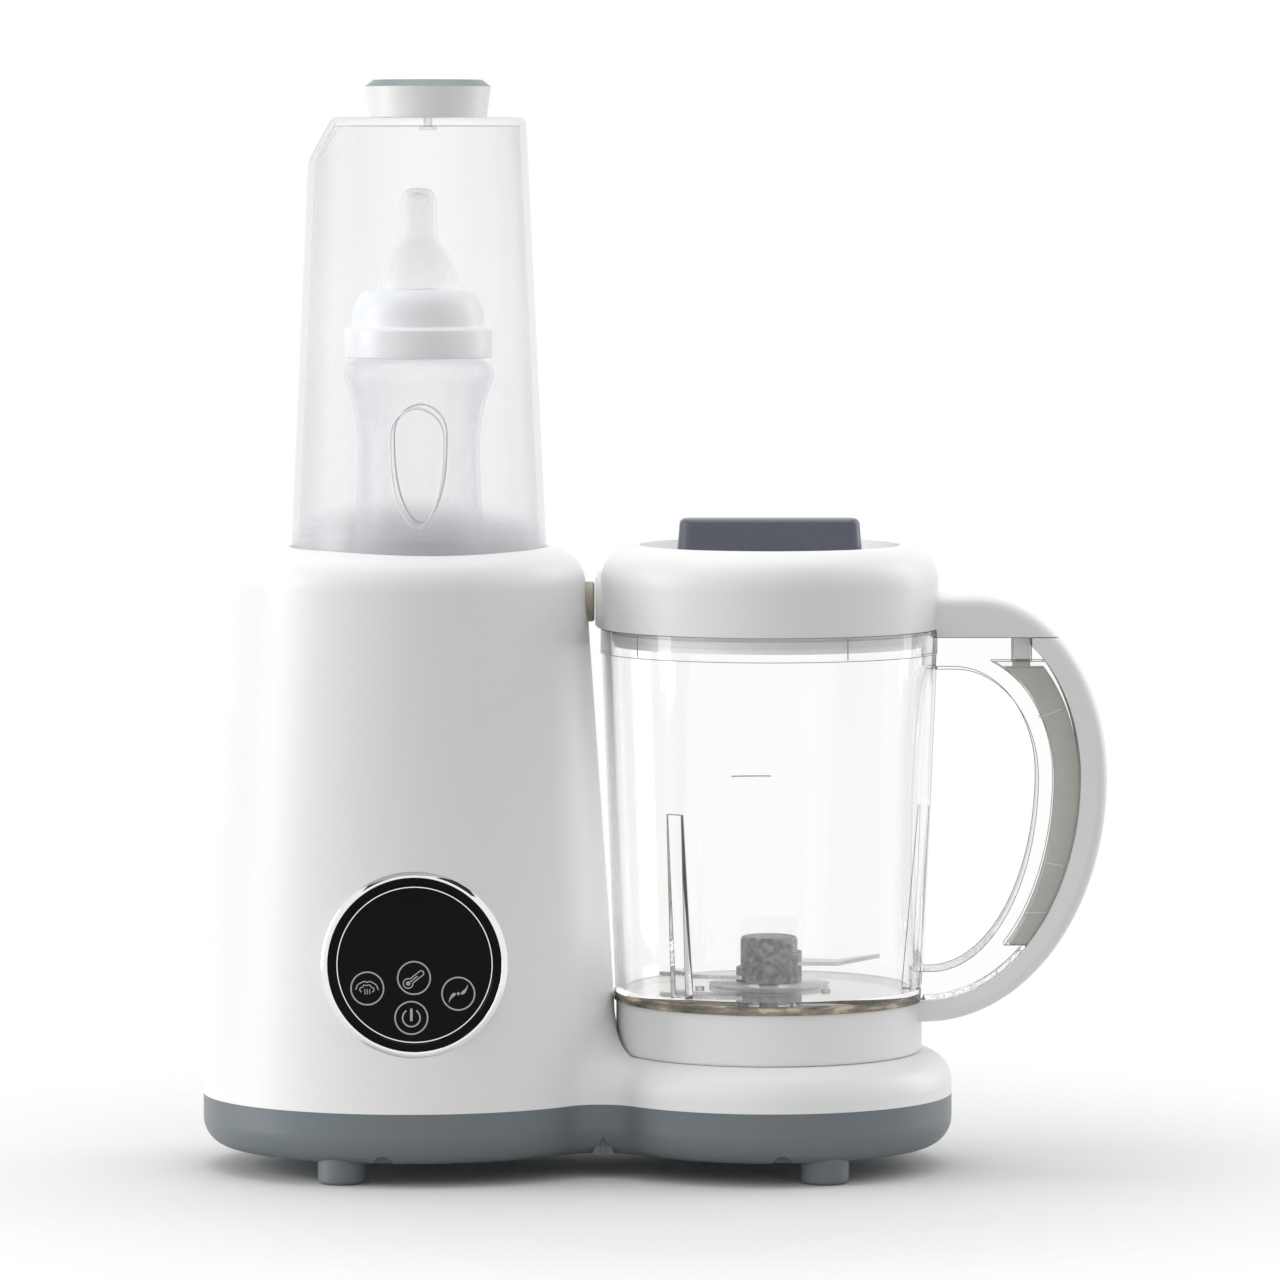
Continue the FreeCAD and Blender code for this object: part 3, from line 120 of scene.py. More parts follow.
# A line through corners (x, y, radius): each corner becomes an arc that touches both its sides
def roundedLine(corners, steps=7, closed=False):
    spots = np.array([c[:2] for c in corners], float)
    line = []
    for k, (*_, radius) in enumerate(corners):
        inner = closed or 0 < k < len(corners) - 1
        if radius <= 0 or not inner:
            line.append(spots[k][None])
            continue
        before = spots[k - 1] - spots[k]
        after = spots[(k + 1) % len(corners)] - spots[k]
        before, after = before / np.linalg.norm(before), after / np.linalg.norm(after)
        half = math.acos(np.clip(before @ after, -1, 1)) / 2
        start, end = before * radius / math.tan(half), after * radius / math.tan(half)
        middle = (before + after) / np.linalg.norm(before + after) * radius / math.sin(half)
        share = np.linspace(0, 1, steps)[:, None]
        sweep = (start - middle) * (1 - share) + (end - middle) * share
        line.append(spots[k] + middle + sweep / np.linalg.norm(sweep, axis=1)[:, None] * radius)
    return np.vstack(line)


# A smooth line through a few points, as Catmull-Rom spans
def smoothLine(points, steps=12):
    p = np.array(points, float)
    p = np.vstack([2 * p[0] - p[1], p, 2 * p[-1] - p[-2]])
    t = np.linspace(0, 1, steps, endpoint=False)[:, None]
    spans = []
    for a, b, c, d in zip(p, p[1:], p[2:], p[3:]):
        bend, twist = 2 * a - 5 * b + 4 * c - d, 3 * b - a - 3 * c + d
        spans.append(0.5 * (2 * b + (c - a) * t + bend * t**2 + twist * t**3))
    return np.vstack(spans + [p[-2][None]])


# A profile of (radius, height) carried round an upright axis
def turned(profile, x, count=160):
    angle = np.linspace(0, 2 * np.pi, count, endpoint=False)
    radius, height = profile[:, 0, None], profile[:, 1, None]
    return np.stack([x + radius * np.cos(angle), radius * np.sin(angle), height + 0 * angle], -1)


# The same profile made into a piece at once: rows are profile points, columns are angles
def turnedPiece(name, profile, x, body, material, slotName, closed, count=160):
    points = turned(profile, x, count)
    return addPiece(name, points, gridFaces(len(profile), count, closeRows=closed), body, material, slotName)


# A finish starts as an empty node material with its Principled shader
def newFinish(name):
    material = bpy.data.materials.new(name)
    material.use_nodes = True
    tree = material.node_tree
    return material, tree, tree.nodes["Principled BSDF"]


# Values of one range carried over to another, and held within it
def mapRange(tree, source, come, go, kind="LINEAR"):
    node = tree.nodes.new("ShaderNodeMapRange")
    node.interpolation_type = kind
    for socket, value in zip(("From Min", "From Max", "To Min", "To Max"), (*come, *go)):
        node.inputs[socket].default_value = value
    tree.links.new(source, node.inputs["Value"])
    return node.outputs["Result"]


# The larger of two values
def largest(tree, first, second):
    node = tree.nodes.new("ShaderNodeMath")
    node.operation = "MAXIMUM"
    tree.links.new(first, node.inputs[0])
    tree.links.new(second, node.inputs[1])
    return node.outputs[0]


# Noise on object coordinates, spread between a low and a high value
def noiseValue(tree, scale, low, high, detail=3.0, stretch=(1, 1, 1)):
    place = tree.nodes.new("ShaderNodeTexCoord")
    turn = tree.nodes.new("ShaderNodeMapping")
    turn.inputs["Scale"].default_value = stretch
    noise = tree.nodes.new("ShaderNodeTexNoise")
    noise.inputs["Scale"].default_value = scale
    noise.inputs["Detail"].default_value = detail
    tree.links.new(place.outputs["Object"], turn.inputs["Vector"])
    tree.links.new(turn.outputs["Vector"], noise.inputs["Vector"])
    return mapRange(tree, noise.outputs["Fac"], noiseRange, (low, high))


# Fine surface grain: the same noise as a height, in metres of depth
def addGrain(tree, bsdf, scale, depth, stretch=(1, 1, 1)):
    bump = tree.nodes.new("ShaderNodeBump")
    bump.inputs["Strength"].default_value = 1.0
    bump.inputs["Distance"].default_value = depth
    tree.links.new(noiseValue(tree, scale, 0, 1, stretch=stretch), bump.inputs["Height"])
    tree.links.new(bump.outputs["Normal"], bsdf.inputs["Normal"])


# Colour that wanders a share below and above its middle value
def addTones(tree, bsdf, colour, spread, scale, stretch=(1, 1, 1)):
    mix = tree.nodes.new("ShaderNodeMix")
    mix.data_type = "RGBA"
    share, dark, light = (mix.inputs[k] for k in (0, 6, 7))    # the node's colour sockets
    result = mix.outputs[2]
    dark.default_value = [c * (1 - spread) for c in colour] + [1]
    light.default_value = [min(1, c * (1 + spread)) for c in colour] + [1]
    tree.links.new(noiseValue(tree, scale, 0, 1, stretch=stretch), share)
    tree.links.new(result, bsdf.inputs["Base Color"])


# Thin clear plastic: nearly open where it is met square on, denser where the wall turns away, and near its
# foot where there is a haze of (low height, high height, most)
def addVeil(tree, bsdf, low, high, blend, haze=None):
    edge = tree.nodes.new("ShaderNodeLayerWeight")
    edge.inputs["Blend"].default_value = blend
    veil = mapRange(tree, edge.outputs["Facing"], (0.0, 1.0), (low, high))
    if haze:
        place = tree.nodes.new("ShaderNodeTexCoord")
        split = tree.nodes.new("ShaderNodeSeparateXYZ")
        tree.links.new(place.outputs["Object"], split.inputs["Vector"])
        fog = mapRange(tree, split.outputs["Z"], haze[:2], (haze[2], 0.0), "SMOOTHSTEP")
        veil = largest(tree, veil, fog)
    tree.links.new(veil, bsdf.inputs["Alpha"])


# One finish from its own dictionary: colour tones, roughness range, grain, and the shader's plain numbers
def makeFinish(name, look):
    material, tree, bsdf = newFinish(name)
    stretch = look.get("stretch", (1, 1, 1))
    addTones(tree, bsdf, look["colour"], look.get("tone", 0.02), look.get("toneScale", 40), stretch)
    rough = noiseValue(tree, look.get("roughScale", 60), *look["rough"], stretch=stretch)
    tree.links.new(rough, bsdf.inputs["Roughness"])
    if look.get("grain"):
        addGrain(tree, bsdf, look["grainScale"], look["grain"], stretch)
    if look.get("veil"):
        addVeil(tree, bsdf, *look["veil"])
    for socket, value in look.get("plain", {}).items():
        bsdf.inputs[socket].default_value = value
    return material


finishLooks = {
    "white_gloss": {"colour": (0.83, 0.83, 0.828), "tone": 0.004, "toneScale": 900, "rough": (0.37, 0.42),
                    "roughScale": 700, "grain": 0.0000012, "grainScale": 2600, "plain": {"IOR": 1.5}},
    "base_grey": {"colour": (0.148, 0.172, 0.186), "tone": 0.04, "toneScale": 1200, "rough": (0.34, 0.42),
                  "roughScale": 700, "grain": 0.000004, "grainScale": 2200, "plain": {"IOR": 1.5}},
    "foot_rubber": {"colour": (0.15, 0.172, 0.185), "tone": 0.05, "toneScale": 900, "rough": (0.42, 0.55),
                    "grain": 0.00001, "grainScale": 1500},
    "screw_steel": {"colour": (0.6, 0.6, 0.61), "tone": 0.08, "toneScale": 900, "rough": (0.25, 0.4),
                    "grain": 0.000006, "grainScale": 1200, "plain": {"Metallic": 1.0}},
    "heater_steel": {"colour": (0.62, 0.62, 0.63), "tone": 0.08, "toneScale": 300, "rough": (0.2, 0.36),
                     "stretch": (1, 12, 1), "grain": 0.000004, "grainScale": 500, "plain": {"Metallic": 1.0}},
    "bezel_chrome": {"colour": (0.84, 0.85, 0.86), "tone": 0.01, "rough": (0.03, 0.06), "roughScale": 500,
                     "plain": {"Metallic": 1.0}},
    "panel_black": {"colour": (0.006, 0.006, 0.0065), "tone": 0.1, "rough": (0.04, 0.07), "roughScale": 400,
                    "plain": {"IOR": 1.5, "Specular IOR Level": 0.06}},
    "silicone_tan": {"colour": (0.4, 0.34, 0.27), "tone": 0.07, "toneScale": 150, "rough": (0.38, 0.5),
                     "grain": 0.000006, "grainScale": 900, "plain": {"Subsurface Weight": 0.15}},
    "jug_clear": {"colour": (0.985, 0.985, 0.98), "tone": 0.004, "rough": (0.0, 0.02), "grain": 0.000001,
                  "grainScale": 120, "plain": {"Transmission Weight": 1.0, "IOR": 1.47}},
    "hood_clear": {"colour": (0.62, 0.625, 0.65), "tone": 0.006, "rough": (0.16, 0.22), "grain": 0.000001,
                   "grainScale": 160, "veil": (0.035, 0.5, 0.3, (0.2135, 0.238, 0.55)),
                   "plain": {"IOR": 1.45}},
    "bottle_clear": {"colour": (0.72, 0.725, 0.76), "tone": 0.01, "rough": (0.12, 0.2), "grain": 0.000001,
                     "grainScale": 200, "veil": (0.06, 0.6, 0.32), "plain": {"IOR": 1.45}},
    "bottle_rim": {"colour": (0.9, 0.905, 0.93), "tone": 0.01, "rough": (0.3, 0.4), "grain": 0.000002,
                   "grainScale": 400, "plain": {"IOR": 1.45}},
    "bottle_ring": {"colour": (0.85, 0.855, 0.875), "tone": 0.01, "rough": (0.3, 0.4), "grain": 0.000002,
                    "grainScale": 400, "plain": {"IOR": 1.45, "Subsurface Weight": 0.2}},
    "teat_silicone": {"colour": (0.86, 0.86, 0.87), "tone": 0.01, "rough": (0.3, 0.42), "grain": 0.000002,
                      "grainScale": 500, "veil": (0.14, 0.6, 0.4), "plain": {"IOR": 1.4}},
    "grip_slate": {"colour": (0.085, 0.095, 0.125), "tone": 0.05, "toneScale": 1200, "rough": (0.3, 0.38),
                   "roughScale": 700, "grain": 0.000004, "grainScale": 2200},
    "inlay_grey": {"colour": (0.22, 0.26, 0.27), "tone": 0.03, "toneScale": 1200, "rough": (0.3, 0.4),
                   "grain": 0.000004, "grainScale": 1800},
    "hub_grey": {"colour": (0.25, 0.252, 0.255), "tone": 0.5, "toneScale": 420, "rough": (0.38, 0.55),
                 "roughScale": 900, "grain": 0.00003, "grainScale": 900},
    "liner_grey": {"colour": (0.84, 0.84, 0.83), "tone": 0.03, "toneScale": 120, "rough": (0.35, 0.45),
                   "grain": 0.000004, "grainScale": 1500},
    "seal_grey": {"colour": (0.72, 0.72, 0.71), "tone": 0.04, "toneScale": 200, "rough": (0.45, 0.55),
                  "grain": 0.000005, "grainScale": 1100},
    "rod_beige": {"colour": (0.5, 0.485, 0.44), "tone": 0.04, "toneScale": 300, "rough": (0.35, 0.45),
                  "grain": 0.000004, "grainScale": 1200},
    "board_green": {"colour": (0.03, 0.16, 0.07), "tone": 0.15, "toneScale": 400, "rough": (0.25, 0.4),
                    "grain": 0.00001, "grainScale": 700},
    "motor_steel": {"colour": (0.35, 0.36, 0.37), "tone": 0.06, "toneScale": 600, "rough": (0.35, 0.5),
                    "grain": 0.000006, "grainScale": 1000, "plain": {"Metallic": 0.8}},
    "belt_black": {"colour": (0.02, 0.02, 0.02), "tone": 0.2, "toneScale": 800, "rough": (0.6, 0.75),
                   "grain": 0.00003, "grainScale": 1000},
    "bush_bronze": {"colour": (0.55, 0.4, 0.2), "tone": 0.08, "toneScale": 500, "rough": (0.25, 0.4),
                    "grain": 0.000005, "grainScale": 1200, "plain": {"Metallic": 1.0}},
    "duct_white": {"colour": (0.75, 0.74, 0.72), "tone": 0.02, "rough": (0.4, 0.5), "grain": 0.00001,
                   "grainScale": 1200},
    # The next two are painted shade for the edges of the clear jug and hood
    "jug_edges_painted_shade": {"colour": (0.34, 0.33, 0.31), "tone": 0.04, "toneScale": 900, "rough": (0.35, 0.45)},
    "hood_edges_painted_shade": {"colour": (0.72, 0.725, 0.75), "tone": 0.04, "toneScale": 900, "rough": (0.35, 0.45)},
    "mark_painted_shade": {"colour": (0.66, 0.66, 0.65), "tone": 0.03, "toneScale": 2000, "rough": (0.4, 0.5)},
    "lug_painted_shade": {"colour": (0.3, 0.29, 0.27), "tone": 0.05, "toneScale": 900, "rough": (0.4, 0.5)},
    "joint_pale": {"colour": (0.78, 0.77, 0.73), "tone": 0.03, "toneScale": 900, "rough": (0.4, 0.5)},
    "symbol_painted_shade": {"colour": (0.42, 0.425, 0.43), "tone": 0.03, "toneScale": 2000, "rough": (0.4, 0.5)},
}
finishes = {name: makeFinish(name, look) for name, look in finishLooks.items()}
# Pieces that look other than their slot, and clear pieces that cast no shadow
ownFinish = {"lid_liner": "liner_grey", "lid_seal": "seal_grey", "knob_screw": "teat_silicone",
             "blade_bush": "teat_silicone"}
clearNodes = ["jug_body", "hood_shell"]
for part in frame["record"]["subparts"]:
    meshData = cadNodes[part["node"]].data
    meshData.materials.clear()
    meshData.materials.append(finishes[ownFinish.get(part["node"], part["material_slot"])])
    meshData.polygons.foreach_set("material_index", np.zeros(len(meshData.polygons), np.int32))
for name in clearNodes:
    cadNodes[name].visible_shadow = False    # lamps shine through clear plastic
print("finishes on the frame:", len(finishes))


# Vee in the waist of the tray: a closed back with a fine rib down its middle, behind the front wall, in mm
veeLook = {"x": -17.6, "low": 8.2, "high": 17.2, "half": 3.9, "deep": 2.4, "thick": 1.2, "ribHalf": 0.4,
           "ribOut": 1.3, "rayStart": 10, "rayLift": 2}


# Two three-sided plates, the wide back and the narrow rib before it, as far in as a ray finds the wall
def makeVeeBack(look):
    x, low, high = look["x"], look["low"], look["high"]
    start = (x * mm, cadLow[1] - look["rayStart"] * mm, (high + look["rayLift"]) * mm)
    wallFront = cadNodes["base_tray"].ray_cast(start, (0, 1, 0))[1][1] / mm
    plates = {"waist_vee_back": (look["half"], look["deep"]),
              "waist_vee_rib": (look["ribHalf"], look["deep"] - look["ribOut"])}
    faces = [[0, 1, 2], [5, 4, 3], [0, 3, 4, 1], [1, 4, 5, 2], [2, 5, 3, 0]]
    for name, (half, front) in plates.items():
        outline = [(x - half, low), (x + half, low), (x, high)]
        depths = (wallFront + front, wallFront + look["deep"] + look["thick"])
        points = np.array([(across, depth, up) for depth in depths for across, up in outline]) * mm
        addPiece(name, points, faces, "base_unit", finishes["base_grey"], "base_grey")


makeVeeBack(veeLook)
print("tray vee made")


# Feeding bottle: three turned shells on the well's axis, radii and heights above the floor in mm
bottleLook = {"wall": 1.6, "floor": 163.0, "mouth": 297.0, "footRadius": 24.4, "footRound": 3.6,
              "innerFoot": (20.5, 165), "innerFloor": 164.8, "steps": 14, "around": 216,
              "belly": [(24.6, 167.5), (24.9, 185), (24.2, 203), (23.3, 217), (22.0, 234), (21.4, 249),
                        (21.9, 260), (23.7, 268.5), (25.8, 275), (26.2, 278.2), (25.4, 280.8),
                        (22.6, 282.4), (20.2, 284.0)]}
gripLook = {"depth": 1.3, "low": 224.4, "high": 266.4, "half": 10.1, "edge": 0.16, "radius": 22,
            "leastRadius": 15, "ends": (0.001, 0.999), "widest": 0.72, "powers": (2.3, 0.62), "bead": 0.36,
            "beadSink": 0.4, "beadSides": 10, "beadEnds": (0.004, 0.996), "beadSteps": 60,
            "turns": {"front": -0.5 * np.pi, "back": 0.5 * np.pi}}
ringLook = {"dome": [(16.6, 307.2), (19.5, 305.9), (21.7, 303.1), (22.8, 299.6), (23.1, 296.4),
                     (23.2, 294.3)],
            "skirt": [(23.2, 294.3, 0), (25.8, 293.4, 0.9), (25.8, 283.3, 0.6), (20.9, 283.3, 0.3),
                      (20.6, 297.6, 0.4), (15.0, 303.8, 0.8), (14.7, 306.8, 0.4), (16.6, 307.2, 0)]}
teatLook = {"outer": [(14.2, 303.9), (14.2, 307.6), (13.8, 311.5), (12.4, 316.2), (9.6, 320.8), (7.4, 324.2),
                      (6.7, 328), (6.65, 334), (6.5, 337.6), (5.6, 340.4), (3.4, 342.1), (0, 342.5)],
            "inner": [(0, 341.0), (3.0, 340.3), (4.8, 338.4), (5.2, 334), (5.3, 328), (6.0, 324.8),
                      (8.6, 320.4), (11.1, 315.8), (12.4, 311.2), (12.8, 307.6), (12.8, 303.9)]}
bottleLow, bottleHigh = (np.array(c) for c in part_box("bottle_body"))
bottleX = (bottleLow[0] + bottleHigh[0]) / 2


# Half width of the egg-shaped hollow at a share of its height: (1 - off^p)^q, off from its widest place
def eggHalf(look, share):
    widest, (power, root) = look["widest"], look["powers"]
    off = np.where(share > widest, (share - widest) / (1 - widest), (widest - share) / widest)
    return look["half"] * (1 - off**power) ** root


# The hollow as a share of its depth: 1 inside the egg, 0 outside, 3e^2 - 2e^3 across its edge
def gripShare(look, across, height):
    low, high, soft = look["low"], look["high"], look["edge"]
    share = np.clip((height - low) / (high - low), *look["ends"])
    edge = np.clip((1 + soft - np.abs(across) / eggHalf(look, share)) / (2 * soft), 0, 1)
    return np.where((height > low) & (height < high), edge * edge * (3 - 2 * edge), 0.0)


# Body: the belly line turned round, less the hollow front and back, with an inner wall one wall thickness in
def makeBottleBody(look, grip):
    belly, neck = smoothLine(look["belly"], look["steps"]), look["belly"][-1][0]
    foot = roundedLine([(0, look["floor"], 0), (look["footRadius"], look["floor"], look["footRound"]),
                        (*look["belly"][0], 0)])
    outer = np.vstack([foot[:-1], belly, [(neck, look["mouth"])]])
    inner = np.vstack([belly[::-1], [look["innerFoot"], (0, look["innerFloor"])]]) - [look["wall"], 0]
    inner[-1, 0] = 0
    profile = np.vstack([outer, [(neck - look["wall"], look["mouth"])], inner])
    angle = np.linspace(0, 2 * np.pi, look["around"], endpoint=False)
    radius, height = profile[:, 0, None] + 0 * angle, profile[:, 1, None] + 0 * angle
    for turn in grip["turns"].values():
        swing = np.angle(np.exp(1j * (angle - turn)))
        hollow = gripShare(grip, swing * grip["radius"], height) * (radius > grip["leastRadius"])
        radius = radius - grip["depth"] * hollow
    points = np.stack([bottleX / mm + radius * np.cos(angle), radius * np.sin(angle), height], -1) * mm
    body = addPiece("bottle_shell", points, gridFaces(len(profile), look["around"]), "bottle",
                    finishes["bottle_clear"], "bottle_clear")
    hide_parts("bottle_body")
    body.visible_shadow = False


# Rim of each hollow: a fine round bead carried along the egg's outline on the belly
def makeGripRims(look, grip):
    share = np.linspace(*grip["beadEnds"], grip["beadSteps"])
    half = eggHalf(grip, share)
    across = np.concatenate([half, -half[::-1]])
    height = grip["low"] + (grip["high"] - grip["low"]) * np.concatenate([share, share[::-1]])
    belly = smoothLine(look["belly"], look["steps"])
    radius = np.interp(height, belly[:, 1], belly[:, 0]) - grip["depth"] * grip["beadSink"]
    spin = np.linspace(0, 2 * np.pi, grip["beadSides"], endpoint=False)
    for side, turn in grip["turns"].items():
        swing = turn + across / grip["radius"]
        out = np.stack([np.cos(swing), np.sin(swing), 0 * swing], -1)
        path = out * radius[:, None] + np.stack([0 * height, 0 * height, height], -1)
        run = np.roll(path, -1, 0) - np.roll(path, 1, 0)
        beside = np.cross(run / np.linalg.norm(run, axis=1)[:, None], out)
        ring = out[:, None] * np.cos(spin)[:, None] + beside[:, None] * np.sin(spin)[:, None]
        points = (path[:, None] + ring * grip["bead"]) * mm + np.array([bottleX, 0, 0])
        faces = gridFaces(len(path), grip["beadSides"], closeRows=True)
        rim = addPiece("bottle_grip_" + side, points, faces, "bottle", finishes["bottle_rim"], "bottle_clear")
        rim.visible_shadow = False


# Screw ring: a domed shoulder, a step, and a straight skirt, closed on itself
def makeBottleRing(look):
    profile = np.vstack([smoothLine(look["dome"]), roundedLine(look["skirt"])[1:-1]]) * mm
    ring = turnedPiece("bottle_screw_ring", profile, bottleX, "bottle", finishes["bottle_ring"],
                       "bottle_clear", True)
    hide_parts("bottle_collar")
    ring.visible_shadow = False


# Teat: a bell that draws in to a straight nipple, inner and outer wall joined at the foot
def makeTeat(look):
    profile = np.clip(np.vstack([smoothLine(look["inner"]), smoothLine(look["outer"])]), 0, None) * mm
    teat = turnedPiece("bottle_nipple", profile, bottleX, "bottle", finishes["teat_silicone"],
                       "teat_silicone", False)
    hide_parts("bottle_teat")
    teat.visible_shadow = False


makeBottleBody(bottleLook, gripLook)
makeGripRims(bottleLook, gripLook)
makeBottleRing(ringLook)
makeTeat(teatLook)
print("bottle made")


# Jug marks: fine bars carried round the cup's own cone, given by (height, radius) at its foot and rim; places
# in m, sections in mm, angles in degrees
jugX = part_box("cap_dish")[0][0] / 2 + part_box("cap_dish")[1][0] / 2
sealLow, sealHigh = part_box("jug_base_seal")
sealRadius = (sealHigh[0] - sealLow[0]) / 2
cupLine = {"low": (0.0605, sealRadius + 0.6 * mm), "high": (0.1805, 0.0589)}
markLook = {"height": 0.1322, "tall": 0.5, "proud": 0.12, "start": 88.4, "end": 103.2}
lugLook = {"radius": 0.0592, "middle": 0.1848, "tall": 7.6, "proud": 0.12, "half": 0.15, "steps": 4,
           "places": {"left": -141.2, "right": -64.0}}


# Radius of the cup's outside at a height: straight from foot to rim
def cupRadius(height):
    (lowZ, lowR), (highZ, highR) = cupLine["low"], cupLine["high"]
    return lowR + (highR - lowR) * (height - lowZ) / (highZ - lowZ)


# A bar on a round wall: its four-cornered section (proud or sunk, up or down) carried between two angles
def wallBar(name, radius, height, tall, proud, start, end, body, material, count=48):
    angle = np.radians(np.linspace(start, end, count))[:, None]
    out = radius + np.array([-proud, proud, proud, -proud])
    up = height + np.array([-tall, -tall, tall, tall]) / 2
    points = np.stack([jugX + out * np.cos(angle), out * np.sin(angle), up + 0 * angle], -1)
    return addPiece(name, points, barFaces(count), body, material)


# Seal under the cup, in mm: a ring with rounded corners and a lip, mottled from olive to honey, the rare
# honey patches being painted glints
footLook = {"outer": sealRadius / mm + 0.3, "inner": sealRadius / mm - 5, "low": 58.5, "high": 60.42,
            "round": 0.5, "around": 200, "lipOut": 0.25, "lipMiddle": 60.15, "lipTall": 3.0, "lipThick": 0.4,
            "lipGap": 15, "lipSteps": 240}
mottleAndGlintLook = {"blotch": 75, "spread": (0.2, 0.8), "detail": 4.0, "stretch": (1, 1, 5),
              "roughScale": 400, "rough": (0.2, 0.35),
              "shades": [(0.3, (0.085, 0.078, 0.062)), (0.5, (0.2, 0.178, 0.14)),
                         (0.62, (0.3, 0.262, 0.205)), (0.74, (0.66, 0.55, 0.42))]}


# A ramp of shades over noise, dark to light; the lightest shade is painted glints
def makeMottleAndGlints(look):
    material, tree, bsdf = newFinish("foot_mottle_and_glints")
    ramp = tree.nodes.new("ShaderNodeValToRGB")
    marks = ramp.color_ramp.elements
    while len(marks) < len(look["shades"]):
        marks.new(0.5)
    for mark, (place, shade) in zip(marks, look["shades"]):
        mark.position, mark.color = place, (*shade, 1)
    blotch = noiseValue(tree, look["blotch"], *look["spread"], look["detail"], look["stretch"])
    tree.links.new(blotch, ramp.inputs["Fac"])
    tree.links.new(ramp.outputs["Color"], bsdf.inputs["Base Color"])
    tree.links.new(noiseValue(tree, look["roughScale"], *look["rough"]), bsdf.inputs["Roughness"])
    return material


# The ring's section is a box with rounded corners, carried round the cup's axis; the lip ends at the handle
def makeFootRing(look):
    inner, outer, low, high = (look[key] for key in ("inner", "outer", "low", "high"))
    corners = [(r, z, look["round"]) for r, z in ((inner, low), (outer, low), (outer, high), (inner, high))]
    profile = roundedLine(corners, closed=True) * mm
    mottleAndGlints = makeMottleAndGlints(mottleAndGlintLook)
    ring = turnedPiece("jug_foot_ring", profile, jugX, "jug", mottleAndGlints, "silicone_tan", True, look["around"])
    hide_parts("jug_base_seal")
    lip = wallBar("jug_foot_lip", cupLine["low"][1] + look["lipOut"] * mm, look["lipMiddle"] * mm,
                  look["lipTall"] * mm, look["lipThick"] / 2 * mm, look["lipGap"], 360 - look["lipGap"],
                  "jug", mottleAndGlints, look["lipSteps"])


# Edges where two triangles of a part meet at more than a given angle, between two heights, as pairs of ends
def sharpEdges(part, look):
    part.data.calc_loop_triangles()
    spots = np.empty(3 * len(part.data.vertices))
    part.data.vertices.foreach_get("co", spots)
    corners = np.empty(3 * len(part.data.loop_triangles), np.int32)
    part.data.loop_triangles.foreach_get("vertices", corners)
    place = np.array(part.matrix_world)
    spots = spots.reshape(-1, 3) @ place[:3, :3].T + place[:3, 3]
    spots, index = np.unique(np.round(spots, 6), axis=0, return_inverse=True)
    corners = index.reshape(-1)[corners].reshape(-1, 3)
    a, b, c = (spots[corners[:, k]] for k in range(3))
    normal = np.cross(b - a, c - a)
    normal = normal / np.maximum(np.linalg.norm(normal, axis=1), tiny)[:, None]
    pairs = np.sort(np.concatenate([corners[:, [0, 1]], corners[:, [1, 2]], corners[:, [2, 0]]]), axis=1)
    owner = np.tile(np.arange(len(corners)), 3)
    order = np.lexsort((pairs[:, 1], pairs[:, 0]))
    pairs, owner = pairs[order], owner[order]
    twin = np.flatnonzero(np.all(pairs[1:] == pairs[:-1], axis=1))
    bend = np.sum(normal[owner[twin]] * normal[owner[twin + 1]], axis=1)
    ends = spots[pairs[twin[bend < math.cos(math.radians(look["angle"]))]]]
    height = ends[..., 2].mean(1)
    return ends[(height > look["low"]) & (height < look["high"])]


# Painted shade along the edges of a clear moulding, standing in for the dark lines that refraction shows
# there: a fine four-sided bar along each, its sides square to the edge
def makeEdgeShadeLines(name, look):
    ends = sharpEdges(cadNodes[look["node"]], look)
    run = ends[:, 1] - ends[:, 0]
    run = run / np.maximum(np.linalg.norm(run, axis=1), tiny)[:, None]
    steep = np.abs(run[:, 2:]) > look["steep"]
    helper = np.where(steep, [[1.0, 0, 0]], [[0, 0, 1.0]])
    side = np.cross(run, helper)
    side = side / np.linalg.norm(side, axis=1)[:, None] * look["half"] * mm
    rise = np.cross(run, side)
    section = np.stack([side, rise, -side, -rise], 1)
    points = ends[:, :, None] + section[:, None]
    box = np.array([[0, 1, 5, 4], [1, 2, 6, 5], [2, 3, 7, 6], [3, 0, 4, 7], [3, 2, 1, 0], [4, 5, 6, 7]])
    faces = (box + 8 * np.arange(len(ends))[:, None, None]).reshape(-1, 4)
    lines = addPiece(name, points, faces, look["body"], finishes[name + "_painted_shade"])
    lines.visible_shadow = False
    print(name, len(ends), "edges")


makeFootRing(footLook)
wallBar("level_line", cupRadius(markLook["height"]), markLook["height"], markLook["tall"] * mm,
        markLook["proud"] * mm, markLook["start"], markLook["end"], "jug", finishes["mark_painted_shade"])
for side, middle in lugLook["places"].items():
    wallBar("band_lug_" + side, lugLook["radius"], lugLook["middle"], lugLook["tall"] * mm,
            lugLook["proud"] * mm, middle - lugLook["half"], middle + lugLook["half"], "jug",
            finishes["lug_painted_shade"], lugLook["steps"])
# Painted shade laid along the sharp edges of the clear jug and hood
edgeShadeLooks = {"jug_edges": {"node": "jug_body", "body": "jug", "angle": 38, "low": 0.064, "high": 0.1886,
                           "half": 0.13, "steep": 0.7},
             "hood_edges": {"node": "hood_shell", "body": "hood", "angle": 30, "low": 0.2165, "high": 0.37,
                            "half": 0.12, "steep": 0.7}}
for name, look in edgeShadeLooks.items():
    makeEdgeShadeLines(name, look)

# Joints across the push rod: (x, z) of both ends in mm, on its front and back faces
rodLook = {"half": 0.16, "proud": 0.03, "steps": 6,
           "joints": [((134.5, 157.8), (142.5, 160.8)), ((137.1, 106.9), (143.2, 105.7)),
                      ((130.1, 89.3), (137.6, 89.3))]}


